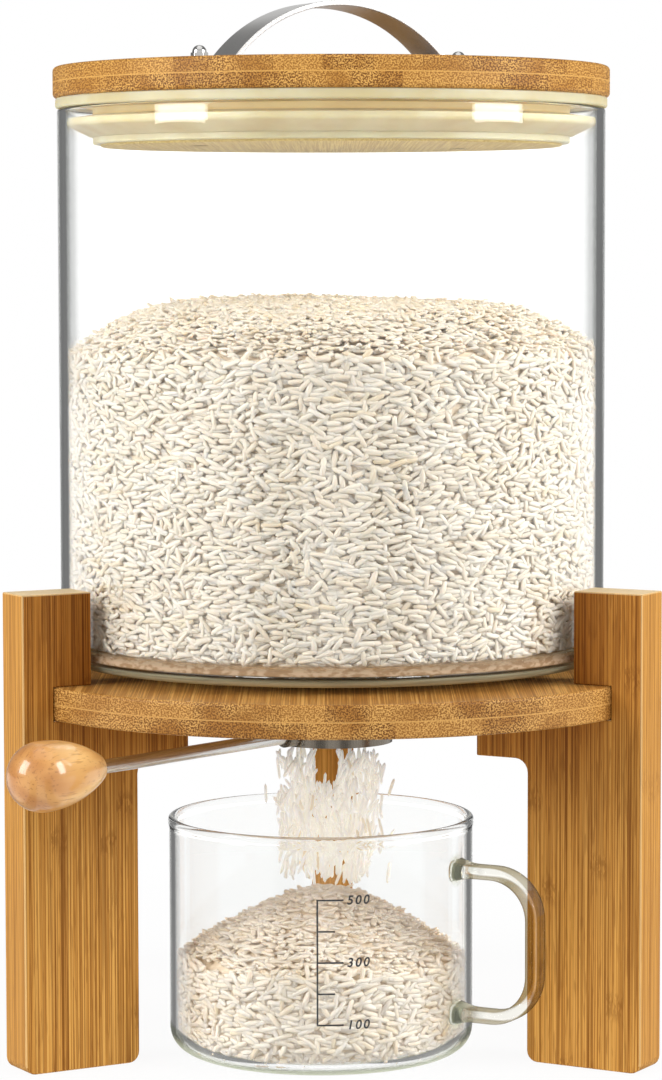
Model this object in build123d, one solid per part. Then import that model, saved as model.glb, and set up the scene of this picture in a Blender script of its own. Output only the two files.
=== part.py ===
"""Glass rice dispenser: a lidded glass jar on a three-legged bamboo stand, over a turning two-way outlet.

Millimetres. The origin is on the jar's axis at table level, +Z is up and the front is -Y.
"""
from build123d import *
import os
from math import cos, radians, sin, sqrt

# Stand
leg_names = ("leg_rear", "leg_front_left", "leg_front_right")
rear_leg_azimuth = 90.0
leg_height = 170.5
leg_thickness = 16.5
leg_beyond_shelf = 12.0
leg_foot_width = 45.0
tab_reach = 20.5
tab_height = 16.0
tab_corner_radius = 5.0
leg_corner_radius = 4.0
leg_edge_round = 1.0
shelf_beyond_jar = 18.0
shelf_thickness = 12.0
shelf_underside_height = 125.4
shelf_edge_round = 1.2
leg_screw_radius = 2.2
leg_screw_head_radius = 4.2
leg_screw_head_height = 2.6
leg_screw_bite = 8.0
leg_screw_recess = 0.6
screw_recess_width = 2.6

# Fits and turns
quarter_turn_angle = 90.0
fixed_clearance = 0.05
running_clearance = 0.06
soft_clearance = 0.3
cut_overrun = 2.0
pick_tolerance = 0.01

# Jar
jar_radius = 100.0
jar_wall = 3.0
jar_height = 201.4
jar_base_thickness = 5.5
jar_base_round = 5.0
jar_inner_round = 4.0
jar_rim_round = 1.2
jar_to_leg_gap = 3.2

# Gasket that carries the jar and seals its hole
gasket_thickness = 3.2
gasket_outer_radius = 62.0
gasket_lip_wall = 3.6

# Outlet throat and its fixed plate
throat_radius = 20.2
throat_wall = 1.2
throat_top_drop = 0.5
throat_flange_radius = 33.0
throat_flange_thickness = 1.5
flange_screw_count = 3
flange_screw_radius = 1.5
flange_screw_head_radius = 3.0
flange_screw_head_height = 1.9
flange_screw_bite = 8.0
flange_screw_circle = 28.5
valve_plate_drop = 8.9
valve_plate_thickness = 1.2
valve_opening_angle = 74.0
valve_hub_radius = 6.0

# Turning valve and its pivot
rotor_radius = 22.2
rotor_wall = 1.3
rotor_skirt_drop = 7.0
rotor_collar_height = 9.0
rotor_plate_thickness = 1.2
valve_gap = 0.3
pivot_radius = 2.0
pivot_head_radius = 4.0
pivot_head_height = 2.2
washer_radius = 4.5
washer_thickness = 0.8
pivot_nut_flats = 7.0
pivot_nut_height = 2.8
pivot_end_length = 0.8

# Lever
lever_azimuth = 231.0
lever_rod_radius = 2.5
lever_drop = 2.8
lever_boss_radius = 3.8
lever_boss_length = 6.0
knob_beyond_shelf = 10.0
knob_length = 40.0
knob_neck_radius = 4.6
knob_radius = 12.2
knob_bore_depth = 22.0
knob_neck_round = 1.5

# Lid
lid_beyond_jar = 1.5
lid_thickness = 11.3
lid_edge_round = 1.6
seal_beyond_jar = 0.6
seal_flange_thickness = 3.7
seal_mouth_clearance = 0.6
seal_neck_height = 2.6
seal_fin_reach = 9.4
seal_fin_fall = 1.4
seal_lip_height = 2.4
seal_cone_drop = 4.0
seal_tip_step = 1.0
seal_tip_drop = 2.6
seal_tip_wall = 2.55
plug_proud = 0.9
plug_edge_round = 1.0

# Lid handle, a bent strap
handle_turn = 27.0
handle_width = 20.0
handle_thickness = 1.8
handle_rise = 23.8
handle_half_span = 46.0
handle_foot_length = 14.0
handle_foot_round = 4.0
handle_bend_radius = 5.0
handle_bolt_radius = 1.6
handle_bolt_head_radius = 3.4
handle_bolt_head_height = 2.4
cap_nut_flats = 5.6
cap_nut_hex_height = 2.6
cap_nut_height = 5.3
cap_nut_bore_depth = 2.9

# Measuring cup
cup_x = -4.3
cup_y = -24.6
cup_radius = 55.3
cup_height = 86.0
cup_wall = 2.2
cup_base_thickness = 3.0
cup_base_round = 9.0
cup_inner_round = 7.4
cup_bead_radius = 1.5
cup_handle_azimuth = -28.0
cup_handle_reach = 33.0
cup_handle_top = 72.0
cup_handle_bottom = 15.6
cup_handle_width = 10.0
cup_handle_thickness = 4.6
cup_handle_corner = 16.0
cup_handle_edge_round = 1.9

# Places that follow from the sizes above
shelf_radius = jar_radius + shelf_beyond_jar
shelf_top = shelf_underside_height + shelf_thickness
leg_outer_radius = shelf_radius + leg_beyond_shelf
tab_underside = shelf_underside_height - tab_height
leg_inner_radius = leg_outer_radius - leg_foot_width
leg_upper_inner_radius = jar_radius + jar_to_leg_gap
tab_inner_radius = leg_inner_radius - tab_reach
leg_screw_place = leg_inner_radius - tab_reach / 2
leg_screw_seat = tab_underside + leg_screw_recess + leg_screw_head_height
jar_bottom = shelf_top + gasket_thickness
jar_floor = jar_bottom + jar_base_thickness
jar_top = jar_bottom + jar_height
jar_inner_radius = jar_radius - jar_wall
gasket_bore_radius = throat_radius + fixed_clearance
gasket_lip_radius = gasket_bore_radius + gasket_lip_wall
jar_hole_radius = gasket_lip_radius + soft_clearance
throat_bore_radius = throat_radius - throat_wall
throat_top = jar_floor - throat_top_drop
shelf_hole_radius = throat_radius + soft_clearance
flange_underside = shelf_underside_height - throat_flange_thickness
valve_plate_height = shelf_underside_height - valve_plate_drop
throat_bottom = valve_plate_height + valve_plate_thickness
rotor_bore_radius = rotor_radius - rotor_wall
rotor_bottom_height = valve_plate_height - rotor_skirt_drop
rotor_top = rotor_bottom_height + rotor_collar_height
rotor_plate_top = valve_plate_height - valve_gap
rotor_plate_bottom = rotor_plate_top - rotor_plate_thickness
washer_top = rotor_plate_bottom - valve_gap
washer_bottom = washer_top - washer_thickness
pivot_nut_bottom = washer_bottom - pivot_nut_height
pivot_bottom = pivot_nut_bottom - pivot_end_length
lever_rod_height = valve_plate_height - lever_drop
knob_start_radius = shelf_radius + knob_beyond_shelf
lid_radius = jar_radius + lid_beyond_jar
lid_seat = jar_top + seal_flange_thickness
lid_top = lid_seat + lid_thickness
seal_flange_radius = jar_radius + seal_beyond_jar
seal_lip_radius = jar_inner_radius - seal_mouth_clearance
seal_tip_radius = seal_lip_radius - seal_fin_reach
seal_bore_radius = seal_tip_radius - seal_tip_wall
plug_radius = seal_bore_radius - fixed_clearance
seal_fin_root = jar_top - seal_neck_height
seal_lip_top = seal_fin_root - seal_fin_fall
seal_lip_bottom = seal_lip_top - seal_lip_height
seal_cone_bottom = seal_lip_bottom - seal_cone_drop
seal_tip_height = seal_cone_bottom - seal_tip_drop
plug_bottom = seal_tip_height - plug_proud
handle_bolt_place = handle_half_span + handle_foot_length / 2
cap_nut_seat = lid_top + handle_thickness
bolt_head_top = plug_bottom + handle_bolt_head_height
cup_inner_radius = cup_radius - cup_wall


def ring(outer: float, inner: float, low: float, high: float) -> Part:
    """A plain tube about the jar's axis, from the height low up to the height high."""
    wall = Plane.XY.offset(low) * (Circle(outer) - Circle(inner))
    return extrude(wall, high - low)


def disc(radius: float, low: float, high: float) -> Part:
    """A plain cylinder about the jar's axis, from the height low up to the height high."""
    return extrude(Plane.XY.offset(low) * Circle(radius), high - low)


def turned(outline) -> Part:
    """The solid that a closed outline of (distance from the axis, height) makes about the Z axis."""
    return revolve(Plane.XZ * make_face(outline), Axis.Z)


def edges_at(part: Part, axis: Axis, place: float) -> ShapeList:
    """The part's edges whose middles lie at one place along an axis."""
    return part.edges().filter_by_position(axis, place - pick_tolerance, place + pick_tolerance)


def headed_pin(shank: float, head: float, low: float, seat: float, high: float) -> Part:
    """A pin with its round head below: the head from low to seat, and the shank from seat to high."""
    return disc(head, low, seat) + disc(shank, seat, high)


def around(part: Part, count: int) -> list:
    """Copies of a part, evenly spaced about the jar's axis."""
    return [Rot(0, 0, index * 360 / count) * part for index in range(count)]


def open_sectors() -> Sketch:
    """The two opposite sectors that let the rice through, centred on the X axis and cut off by the hub."""
    far = 2 * rotor_radius
    half = radians(valve_opening_angle / 2)
    near_side = (far * cos(half), -far * sin(half))
    far_side = (far * cos(half), far * sin(half))
    wedge = make_face(Polyline((0, 0), near_side, far_side, close=True))
    return (wedge + Rot(0, 0, 180) * wedge) - Circle(valve_hub_radius)


# Stand

def leg() -> Part:
    """The rear leg, a bamboo board on edge: a foot, a post with a slot for the shelf, and a tab under it."""
    outline = Polyline(
        (leg_inner_radius, 0),
        (leg_outer_radius, 0),
        (leg_outer_radius, leg_height),
        (leg_upper_inner_radius, leg_height),
        (leg_upper_inner_radius, shelf_top),
        (shelf_radius, shelf_top),
        (shelf_radius, shelf_underside_height),
        (tab_inner_radius, shelf_underside_height),
        (tab_inner_radius, tab_underside),
        (leg_inner_radius, tab_underside),
        close=True,
    )
    face = Plane.XZ * make_face(outline)
    board = extrude(face, leg_thickness / 2, both=True)
    board = fillet(edges_at(board, Axis.Z, 0).filter_by(Axis.Y), leg_corner_radius)
    corner = edges_at(board, Axis.Z, tab_underside).filter_by(Axis.Y).sort_by(Axis.X)[-1]
    board = fillet(corner, tab_corner_radius)
    outer = edges_at(board, Axis.X, leg_outer_radius).filter_by(Axis.Z)
    board = fillet(outer + edges_at(board, Axis.Z, leg_height), leg_edge_round)
    place = Pos(leg_screw_place, 0, 0)
    shank = place * disc(leg_screw_radius + fixed_clearance, tab_underside, shelf_underside_height)
    head = place * disc(leg_screw_head_radius + soft_clearance, tab_underside, leg_screw_seat)
    return Rot(0, 0, rear_leg_azimuth) * (board - shank - head)


def leg_screws() -> list:
    """One screw up through each tab into the shelf, its head in a counterbore."""
    top = shelf_underside_height + leg_screw_bite
    low = tab_underside + leg_screw_recess
    screw = headed_pin(leg_screw_radius, leg_screw_head_radius, low, leg_screw_seat, top)
    socket = extrude(Plane.XY.offset(low) * RegularPolygon(screw_recess_width, 6), leg_screw_head_height / 2)
    screw = Rot(0, 0, rear_leg_azimuth) * Pos(leg_screw_place, 0, 0) * (screw - socket)
    return around(screw, len(leg_names))


def flange_screws() -> list:
    """The screws that hold the throat's flange up against the shelf."""
    low = flange_underside - flange_screw_head_height
    top = shelf_underside_height + flange_screw_bite
    screw = headed_pin(flange_screw_radius, flange_screw_head_radius, low, flange_underside, top)
    rim = screw.edges().group_by(Axis.Z)[0]
    screw = fillet(rim, flange_screw_head_height / 2)
    return around(Pos(0, flange_screw_circle, 0) * screw, flange_screw_count)


def shelf() -> Part:
    """The two-ply bamboo disc, with the throat's hole and blind holes for the screws."""
    board = disc(shelf_radius, shelf_underside_height, shelf_top)
    board = fillet(board.edges(), shelf_edge_round)
    board -= disc(shelf_hole_radius, shelf_underside_height, shelf_top)
    leg_hole = disc(leg_screw_radius + fixed_clearance, shelf_underside_height,
                    shelf_underside_height + leg_screw_bite + fixed_clearance)
    leg_hole = Rot(0, 0, rear_leg_azimuth) * Pos(leg_screw_place, 0, 0) * leg_hole
    for hole in around(leg_hole, len(leg_names)):
        board -= hole
    flange_hole = disc(flange_screw_radius + fixed_clearance, shelf_underside_height,
                       shelf_underside_height + flange_screw_bite + fixed_clearance)
    for hole in around(Pos(0, flange_screw_circle, 0) * flange_hole, flange_screw_count):
        board -= hole
    return board


# Outlet

def outlet_throat() -> Part:
    """A steel tube from the jar's floor to the valve, with the flange that hangs it under the shelf."""
    tube = ring(throat_radius, throat_bore_radius, throat_bottom, throat_top)
    flange = ring(throat_flange_radius, throat_bore_radius, flange_underside, shelf_underside_height)
    hole = disc(flange_screw_radius + fixed_clearance, flange_underside, shelf_underside_height)
    body = tube + flange
    for cut in around(Pos(0, flange_screw_circle, 0) * hole, flange_screw_count):
        body -= cut
    return body


def valve_plate() -> Part:
    """The fixed plate under the throat, with two open sectors and the pivot's hole."""
    sheet = Circle(throat_radius) - (open_sectors() & Circle(throat_bore_radius))
    sheet -= Circle(pivot_radius + fixed_clearance)
    return extrude(Plane.XY.offset(valve_plate_height) * sheet, valve_plate_thickness)


def valve_rotor() -> Part:
    """The turning valve: a collar round the throat's end, a plate like the fixed one and the lever's boss."""
    collar = ring(rotor_radius, rotor_bore_radius, rotor_bottom_height, rotor_top)
    sheet = Circle(rotor_bore_radius + rotor_wall / 2) - (open_sectors() & Circle(throat_bore_radius))
    sheet -= Circle(pivot_radius + running_clearance)
    plate = extrude(Plane.XY.offset(rotor_plate_bottom) * sheet, rotor_plate_thickness)
    boss_reach = rotor_radius + lever_boss_length
    boss = along_lever(lever_boss_radius, rotor_bore_radius + rotor_wall / 2, boss_reach)
    bore = along_lever(lever_rod_radius + fixed_clearance, rotor_radius, boss_reach)
    return collar + plate + boss - bore


def along_lever(radius: float, start: float, end: float) -> Part:
    """A round bar on the lever's line, between two distances from the jar's axis."""
    return lever_frame() * Pos(0, 0, start) * extrude(Circle(radius), end - start)


def lever_frame() -> Location:
    """The place whose Z axis runs out along the lever from the jar's axis."""
    return Pos(0, 0, lever_rod_height) * Rot(0, 0, lever_azimuth) * Rot(0, quarter_turn_angle, 0)


def lever_rod() -> Part:
    """The steel rod from the rotor's boss into the knob."""
    return along_lever(lever_rod_radius, rotor_radius, knob_start_radius + knob_bore_depth)


def lever_knob() -> Part:
    """A turned wooden egg, slim where the rod enters and round at its full outer end."""
    belly = knob_length - knob_radius
    end = CenterArc((0, belly), knob_radius, 0, quarter_turn_angle)
    side = TangentArc((knob_radius, belly), (knob_neck_radius, 0), tangent=(0, -1))
    egg = turned(end + side + Polyline((knob_neck_radius, 0), (0, 0), (0, knob_length)))
    egg = fillet(egg.edges().group_by(Axis.Z)[0], knob_neck_round)
    bore = extrude(Circle(lever_rod_radius + fixed_clearance), knob_bore_depth + fixed_clearance)
    return lever_frame() * Pos(0, 0, knob_start_radius) * (egg - bore)


def pivot_bolt() -> Part:
    """The bolt the valve turns on: a low round head over the fixed plate, and a shank down to its nut."""
    head = disc(pivot_head_radius, throat_bottom, throat_bottom + pivot_head_height)
    head = fillet(head.edges().group_by(Axis.Z)[-1], pivot_head_height / 2)
    return head + disc(pivot_radius, pivot_bottom, throat_bottom)


def pivot_washer() -> Part:
    """The washer between the valve and its nut."""
    return ring(washer_radius, pivot_radius + fixed_clearance, washer_bottom, washer_top)


def pivot_nut() -> Part:
    """The hexagon nut under the valve."""
    hexagon = RegularPolygon(pivot_nut_flats / 2, 6, major_radius=False)
    sheet = hexagon - Circle(pivot_radius + fixed_clearance)
    return extrude(Plane.XY.offset(pivot_nut_bottom) * sheet, pivot_nut_height)


# Jar

def glass_jar() -> Part:
    """The straight glass jar with a rounded foot and a round hole in its floor."""
    body = disc(jar_radius, jar_bottom, jar_top)
    body = fillet(body.edges().group_by(Axis.Z)[0], jar_base_round)
    inside = disc(jar_inner_radius, jar_floor, jar_top + cut_overrun)
    inside = fillet(inside.edges().group_by(Axis.Z)[0], jar_inner_round)
    body -= inside
    body = fillet(body.edges().group_by(Axis.Z)[-1], jar_rim_round)
    return body - disc(jar_hole_radius, jar_bottom - cut_overrun, jar_floor + cut_overrun)


def jar_gasket() -> Part:
    """The silicone ring that the jar stands on, with a lip that fills the hole round the throat."""
    pad = ring(gasket_outer_radius, gasket_bore_radius, shelf_top, jar_bottom)
    lip = ring(gasket_lip_radius, gasket_bore_radius, jar_bottom, throat_top)
    return pad + lip


# Lid

def lid_seal() -> Part:
    """The lid's silicone ring: a flange on the jar's rim, a neck and a fin that wipes the jar's mouth."""
    outline = Polyline(
        (seal_bore_radius, lid_seat),
        (seal_flange_radius, lid_seat),
        (seal_flange_radius, jar_top),
        (seal_tip_radius, jar_top),
        (seal_tip_radius, seal_fin_root),
        (seal_lip_radius, seal_lip_top),
        (seal_lip_radius, seal_lip_bottom),
        (seal_tip_radius + seal_tip_step, seal_cone_bottom),
        (seal_tip_radius, seal_cone_bottom),
        (seal_tip_radius, seal_tip_height),
        (seal_bore_radius, seal_tip_height),
        close=True,
    )
    return turned(outline)


def bolt_holes(radius: float, low: float, high: float) -> list:
    """Cutters for the two bolts of the lid's handle."""
    hole = disc(radius, low, high)
    return [Rot(0, 0, handle_turn) * Pos(side * handle_bolt_place, 0, 0) * hole for side in (-1, 1)]


def lid_plug() -> Part:
    """The bamboo disc inside the seal, under the lid board."""
    body = disc(plug_radius, plug_bottom, lid_seat)
    body = fillet(body.edges().group_by(Axis.Z)[0], plug_edge_round)
    for hole in bolt_holes(handle_bolt_radius + fixed_clearance, plug_bottom, lid_seat):
        body -= hole
    for hole in bolt_holes(handle_bolt_head_radius + soft_clearance, plug_bottom, bolt_head_top):
        body -= hole
    return body


def lid_board() -> Part:
    """The two-ply bamboo disc on top."""
    body = disc(lid_radius, lid_seat, lid_top)
    body = fillet(body.edges(), lid_edge_round)
    for hole in bolt_holes(handle_bolt_radius + fixed_clearance, lid_seat, lid_top):
        body -= hole
    return body


def lid_handle() -> Part:
    """A steel strap bent into an arch, with a flat foot at each end."""
    bow = (handle_half_span ** 2 + handle_rise ** 2) / (2 * handle_rise)
    centre = lid_top + handle_rise - bow
    arch = Pos(0, centre) * (Circle(bow) - Circle(bow - handle_thickness))
    above = Pos(0, lid_top + handle_rise / 2) * Rectangle(2 * handle_half_span, handle_rise)
    end = handle_half_span + handle_foot_length
    inner_end = sqrt((bow - handle_thickness) ** 2 - (lid_top - centre) ** 2)
    foot = Rectangle(end - inner_end, handle_thickness)
    foot = Pos((end + inner_end) / 2, lid_top + handle_thickness / 2) * foot
    side = (arch & above) + foot + mirror(foot, Plane.YZ)
    strap = extrude(Plane.XZ * side, handle_width / 2, both=True)
    bends = edges_at(strap, Axis.Z, lid_top + handle_thickness).filter_by(Axis.Y)
    strap = fillet(bends.sort_by(lambda edge: abs(edge.center().X))[:2], handle_bend_radius)
    corners = strap.edges().filter_by(Axis.Z)
    strap = fillet(corners, handle_foot_round)
    strap = Rot(0, 0, handle_turn) * strap
    for hole in bolt_holes(handle_bolt_radius + fixed_clearance, lid_top, cap_nut_seat):
        strap -= hole
    return strap


def handle_bolts() -> list:
    """The two bolts up through the plug, the lid board and the handle's feet."""
    bolt = headed_pin(handle_bolt_radius, handle_bolt_head_radius, plug_bottom, bolt_head_top,
                      cap_nut_seat + cap_nut_bore_depth - fixed_clearance)
    return [Rot(0, 0, handle_turn) * Pos(side * handle_bolt_place, 0, 0) * bolt for side in (-1, 1)]


def handle_cap_nuts() -> list:
    """The two domed nuts on the handle's feet."""
    hexagon = RegularPolygon(cap_nut_flats / 2, 6, major_radius=False)
    base = extrude(Plane.XY.offset(cap_nut_seat) * hexagon, cap_nut_hex_height)
    dome_radius = cap_nut_flats / 2
    dome_base = cap_nut_seat + cap_nut_hex_height
    dome_rise = cap_nut_height - cap_nut_hex_height
    arc = EllipticalCenterArc((0, dome_base), dome_radius, dome_rise, start_angle=0,
                              arc_size=quarter_turn_angle)
    dome = turned(arc + Polyline(arc @ 1, (0, dome_base), arc @ 0))
    bore = disc(handle_bolt_radius + fixed_clearance, cap_nut_seat, cap_nut_seat + cap_nut_bore_depth)
    nut = base + dome - bore
    return [Rot(0, 0, handle_turn) * Pos(side * handle_bolt_place, 0, 0) * nut for side in (-1, 1)]


# Measuring cup

def measuring_cup() -> Part:
    """The thin glass cup with a rounded foot and a beaded rim."""
    body = disc(cup_radius, 0, cup_height - cup_bead_radius)
    body = fillet(body.edges().group_by(Axis.Z)[0], cup_base_round)
    inside = disc(cup_inner_radius, cup_base_thickness, cup_height + cut_overrun)
    inside = fillet(inside.edges().group_by(Axis.Z)[0], cup_inner_round)
    bead_centre = cup_radius - cup_wall / 2
    bead = Pos(0, 0, cup_height - cup_bead_radius) * Torus(bead_centre, cup_bead_radius)
    return Pos(cup_x, cup_y, 0) * (body - inside + bead)


def cup_handle() -> Part:
    """The flat glass ear, cut to the cup's wall at both ends."""
    out = cup_radius + cup_handle_reach - cup_handle_thickness / 2
    low = cup_handle_bottom + cup_handle_thickness / 2
    high = cup_handle_top - cup_handle_thickness / 2
    corners = [(cup_inner_radius, high), (out, high), (out, low), (cup_inner_radius, low)]
    path = Plane.XZ * FilletPolyline(*corners, radius=cup_handle_corner)
    section = Plane(origin=path @ 0, z_dir=path % 0, x_dir=(0, 1, 0)) * RectangleRounded(
        cup_handle_width, cup_handle_thickness, cup_handle_edge_round)
    ear = sweep(section, path=path)
    ear -= disc(cup_radius, 0, cup_height)
    return Pos(cup_x, cup_y, 0) * Rot(0, 0, cup_handle_azimuth) * ear


def save(name: str, shape) -> None:
    """Writes one node's STEP file, with its separate solids together."""
    parts = shape if isinstance(shape, list) else [shape]
    solids = [solid for part in parts for solid in part.solids()]
    export_step(Compound(children=solids), f"parts/{name}.step")


nodes = {
    "shelf": shelf,
    "leg_screws": leg_screws,
    "outlet_throat": outlet_throat,
    "flange_screws": flange_screws,
    "valve_plate": valve_plate,
    "valve_rotor": valve_rotor,
    "lever_rod": lever_rod,
    "lever_knob": lever_knob,
    "pivot_bolt": pivot_bolt,
    "pivot_washer": pivot_washer,
    "pivot_nut": pivot_nut,
    "glass_jar": glass_jar,
    "jar_gasket": jar_gasket,
    "lid_board": lid_board,
    "lid_plug": lid_plug,
    "lid_seal": lid_seal,
    "lid_handle": lid_handle,
    "handle_bolts": handle_bolts,
    "handle_cap_nuts": handle_cap_nuts,
    "measuring_cup": measuring_cup,
    "cup_handle": cup_handle,
}

os.makedirs("parts", exist_ok=True)
for leg_name, leg_part in zip(leg_names, around(leg(), len(leg_names))):
    save(leg_name, leg_part)
for node_name, build_node in nodes.items():
    save(node_name, build_node())
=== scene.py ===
"""Looks of the glass rice dispenser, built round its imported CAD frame.

Metres. The origin is on the jar's axis at table level, +Z is up and the front is -Y.
"""
import logging
import math
import random
from dataclasses import dataclass
from enum import Enum
from typing import Iterator, Sequence

import bmesh
import bpy
from bmesh.types import BMEdge, BMesh, BMFace, BMVert
from mathutils import Euler, Matrix, Vector, noise


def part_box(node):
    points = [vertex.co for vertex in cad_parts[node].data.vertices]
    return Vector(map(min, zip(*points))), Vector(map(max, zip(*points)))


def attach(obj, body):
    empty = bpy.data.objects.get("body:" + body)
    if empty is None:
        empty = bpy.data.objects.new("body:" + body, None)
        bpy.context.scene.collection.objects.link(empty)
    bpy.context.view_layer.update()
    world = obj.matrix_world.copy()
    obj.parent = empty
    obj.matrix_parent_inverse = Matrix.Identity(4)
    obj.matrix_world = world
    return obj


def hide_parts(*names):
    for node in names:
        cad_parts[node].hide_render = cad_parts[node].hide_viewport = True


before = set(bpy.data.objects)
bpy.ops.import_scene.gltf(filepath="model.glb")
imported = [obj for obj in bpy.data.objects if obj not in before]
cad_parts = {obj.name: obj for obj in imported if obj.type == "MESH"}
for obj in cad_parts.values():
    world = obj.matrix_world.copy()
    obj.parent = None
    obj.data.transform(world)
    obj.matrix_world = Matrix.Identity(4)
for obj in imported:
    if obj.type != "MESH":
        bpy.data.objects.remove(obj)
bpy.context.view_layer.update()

log = logging.getLogger("rice_dispenser")

Color = tuple[float, float, float]
Axes = tuple[float, float, float]
Socket = bpy.types.NodeSocket
MM = 0.001
FULLY_SMOOTH = math.pi


class Body(Enum):
    """The bodies of the CAD frame that pieces ride on."""

    STAND = "stand"
    JAR = "jar"
    LID = "lid"
    LEVER = "lever"
    CUP = "cup"


class Slot(Enum):
    """The record's material slots."""

    BAMBOO = "bamboo"
    GLASS = "glass"
    CUP_GLASS = "cup_glass"
    STEEL = "steel"
    FASTENER = "fastener_steel"
    SILICONE = "silicone"
    KNOB = "turned_wood"


# Shaders


class Nodes:
    """A node tree, with short calls for the nodes that the looks use."""

    def __init__(self, tree: bpy.types.NodeTree, output: str) -> None:
        """Empties a tree and adds its output node.

        Args:
            tree: The tree of a material or a world.
            output: The output node's type.
        """
        self.tree = tree
        self.tree.nodes.clear()
        self.output = self.node(output)

    def feed(self, socket: Socket, value: object) -> None:
        """Links a value into a socket, or sets the socket to it.

        Args:
            socket: The input to fill.
            value: Another node's output, or a constant.
        """
        if isinstance(value, Socket):
            self.tree.links.new(value, socket)
        elif isinstance(value, tuple) and len(value) == 3 and socket.type == "RGBA":
            socket.default_value = (*value, 1.0)
        else:
            socket.default_value = value

    def show(self, surface: Socket) -> None:
        """Makes a surface the one that is seen."""
        self.feed(self.output.inputs["Surface"], surface)

    def node(self, kind: str, *values: object, **settings: object) -> bpy.types.Node:
        """Adds a node.

        Args:
            kind: The node's type.
            values: What goes into its first inputs, in order.
            settings: Properties to set on it.

        Returns:
            The new node.
        """
        made = self.tree.nodes.new(kind)
        for name, value in settings.items():
            setattr(made, name, value)
        for socket, value in zip(made.inputs, values):
            self.feed(socket, value)
        return made

    def math(self, operation: str, *values: object) -> Socket:
        """The result of a Math node's operation on values."""
        return self.node("ShaderNodeMath", *values, operation=operation).outputs[0]

    def times(self, first: object, second: object) -> Socket:
        """The product of two values."""
        return self.math("MULTIPLY", first, second)

    def plus(self, first: object, second: object) -> Socket:
        """The sum of two values."""
        return self.math("ADD", first, second)

    def minus(self, first: object, second: object) -> Socket:
        """The first value less the second."""
        return self.math("SUBTRACT", first, second)

    def span(self, value: object, start: float, end: float, low: float = 0.0, high: float = 1.0) -> Socket:
        """Maps a span of values smoothly on another.

        Args:
            value: The value to map.
            start: The value that gives low.
            end: The value that gives high.
            low: The first result.
            high: The last result.

        Returns:
            The mapped value.
        """
        return self.node("ShaderNodeMapRange", value, start, end, low, high,
                         interpolation_type="SMOOTHSTEP").outputs[0]

    def split(self, vector: Socket) -> list[Socket]:
        """The three parts of a vector."""
        return self.node("ShaderNodeSeparateXYZ", vector).outputs[:3]

    def join(self, x: object, y: object, z: object) -> Socket:
        """A vector from its three parts."""
        return self.node("ShaderNodeCombineXYZ", x, y, z).outputs[0]

    def distance(self, first: object, second: object) -> Socket:
        """The distance between two points."""
        return self.node("ShaderNodeVectorMath", first, second, operation="DISTANCE").outputs["Value"]


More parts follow.
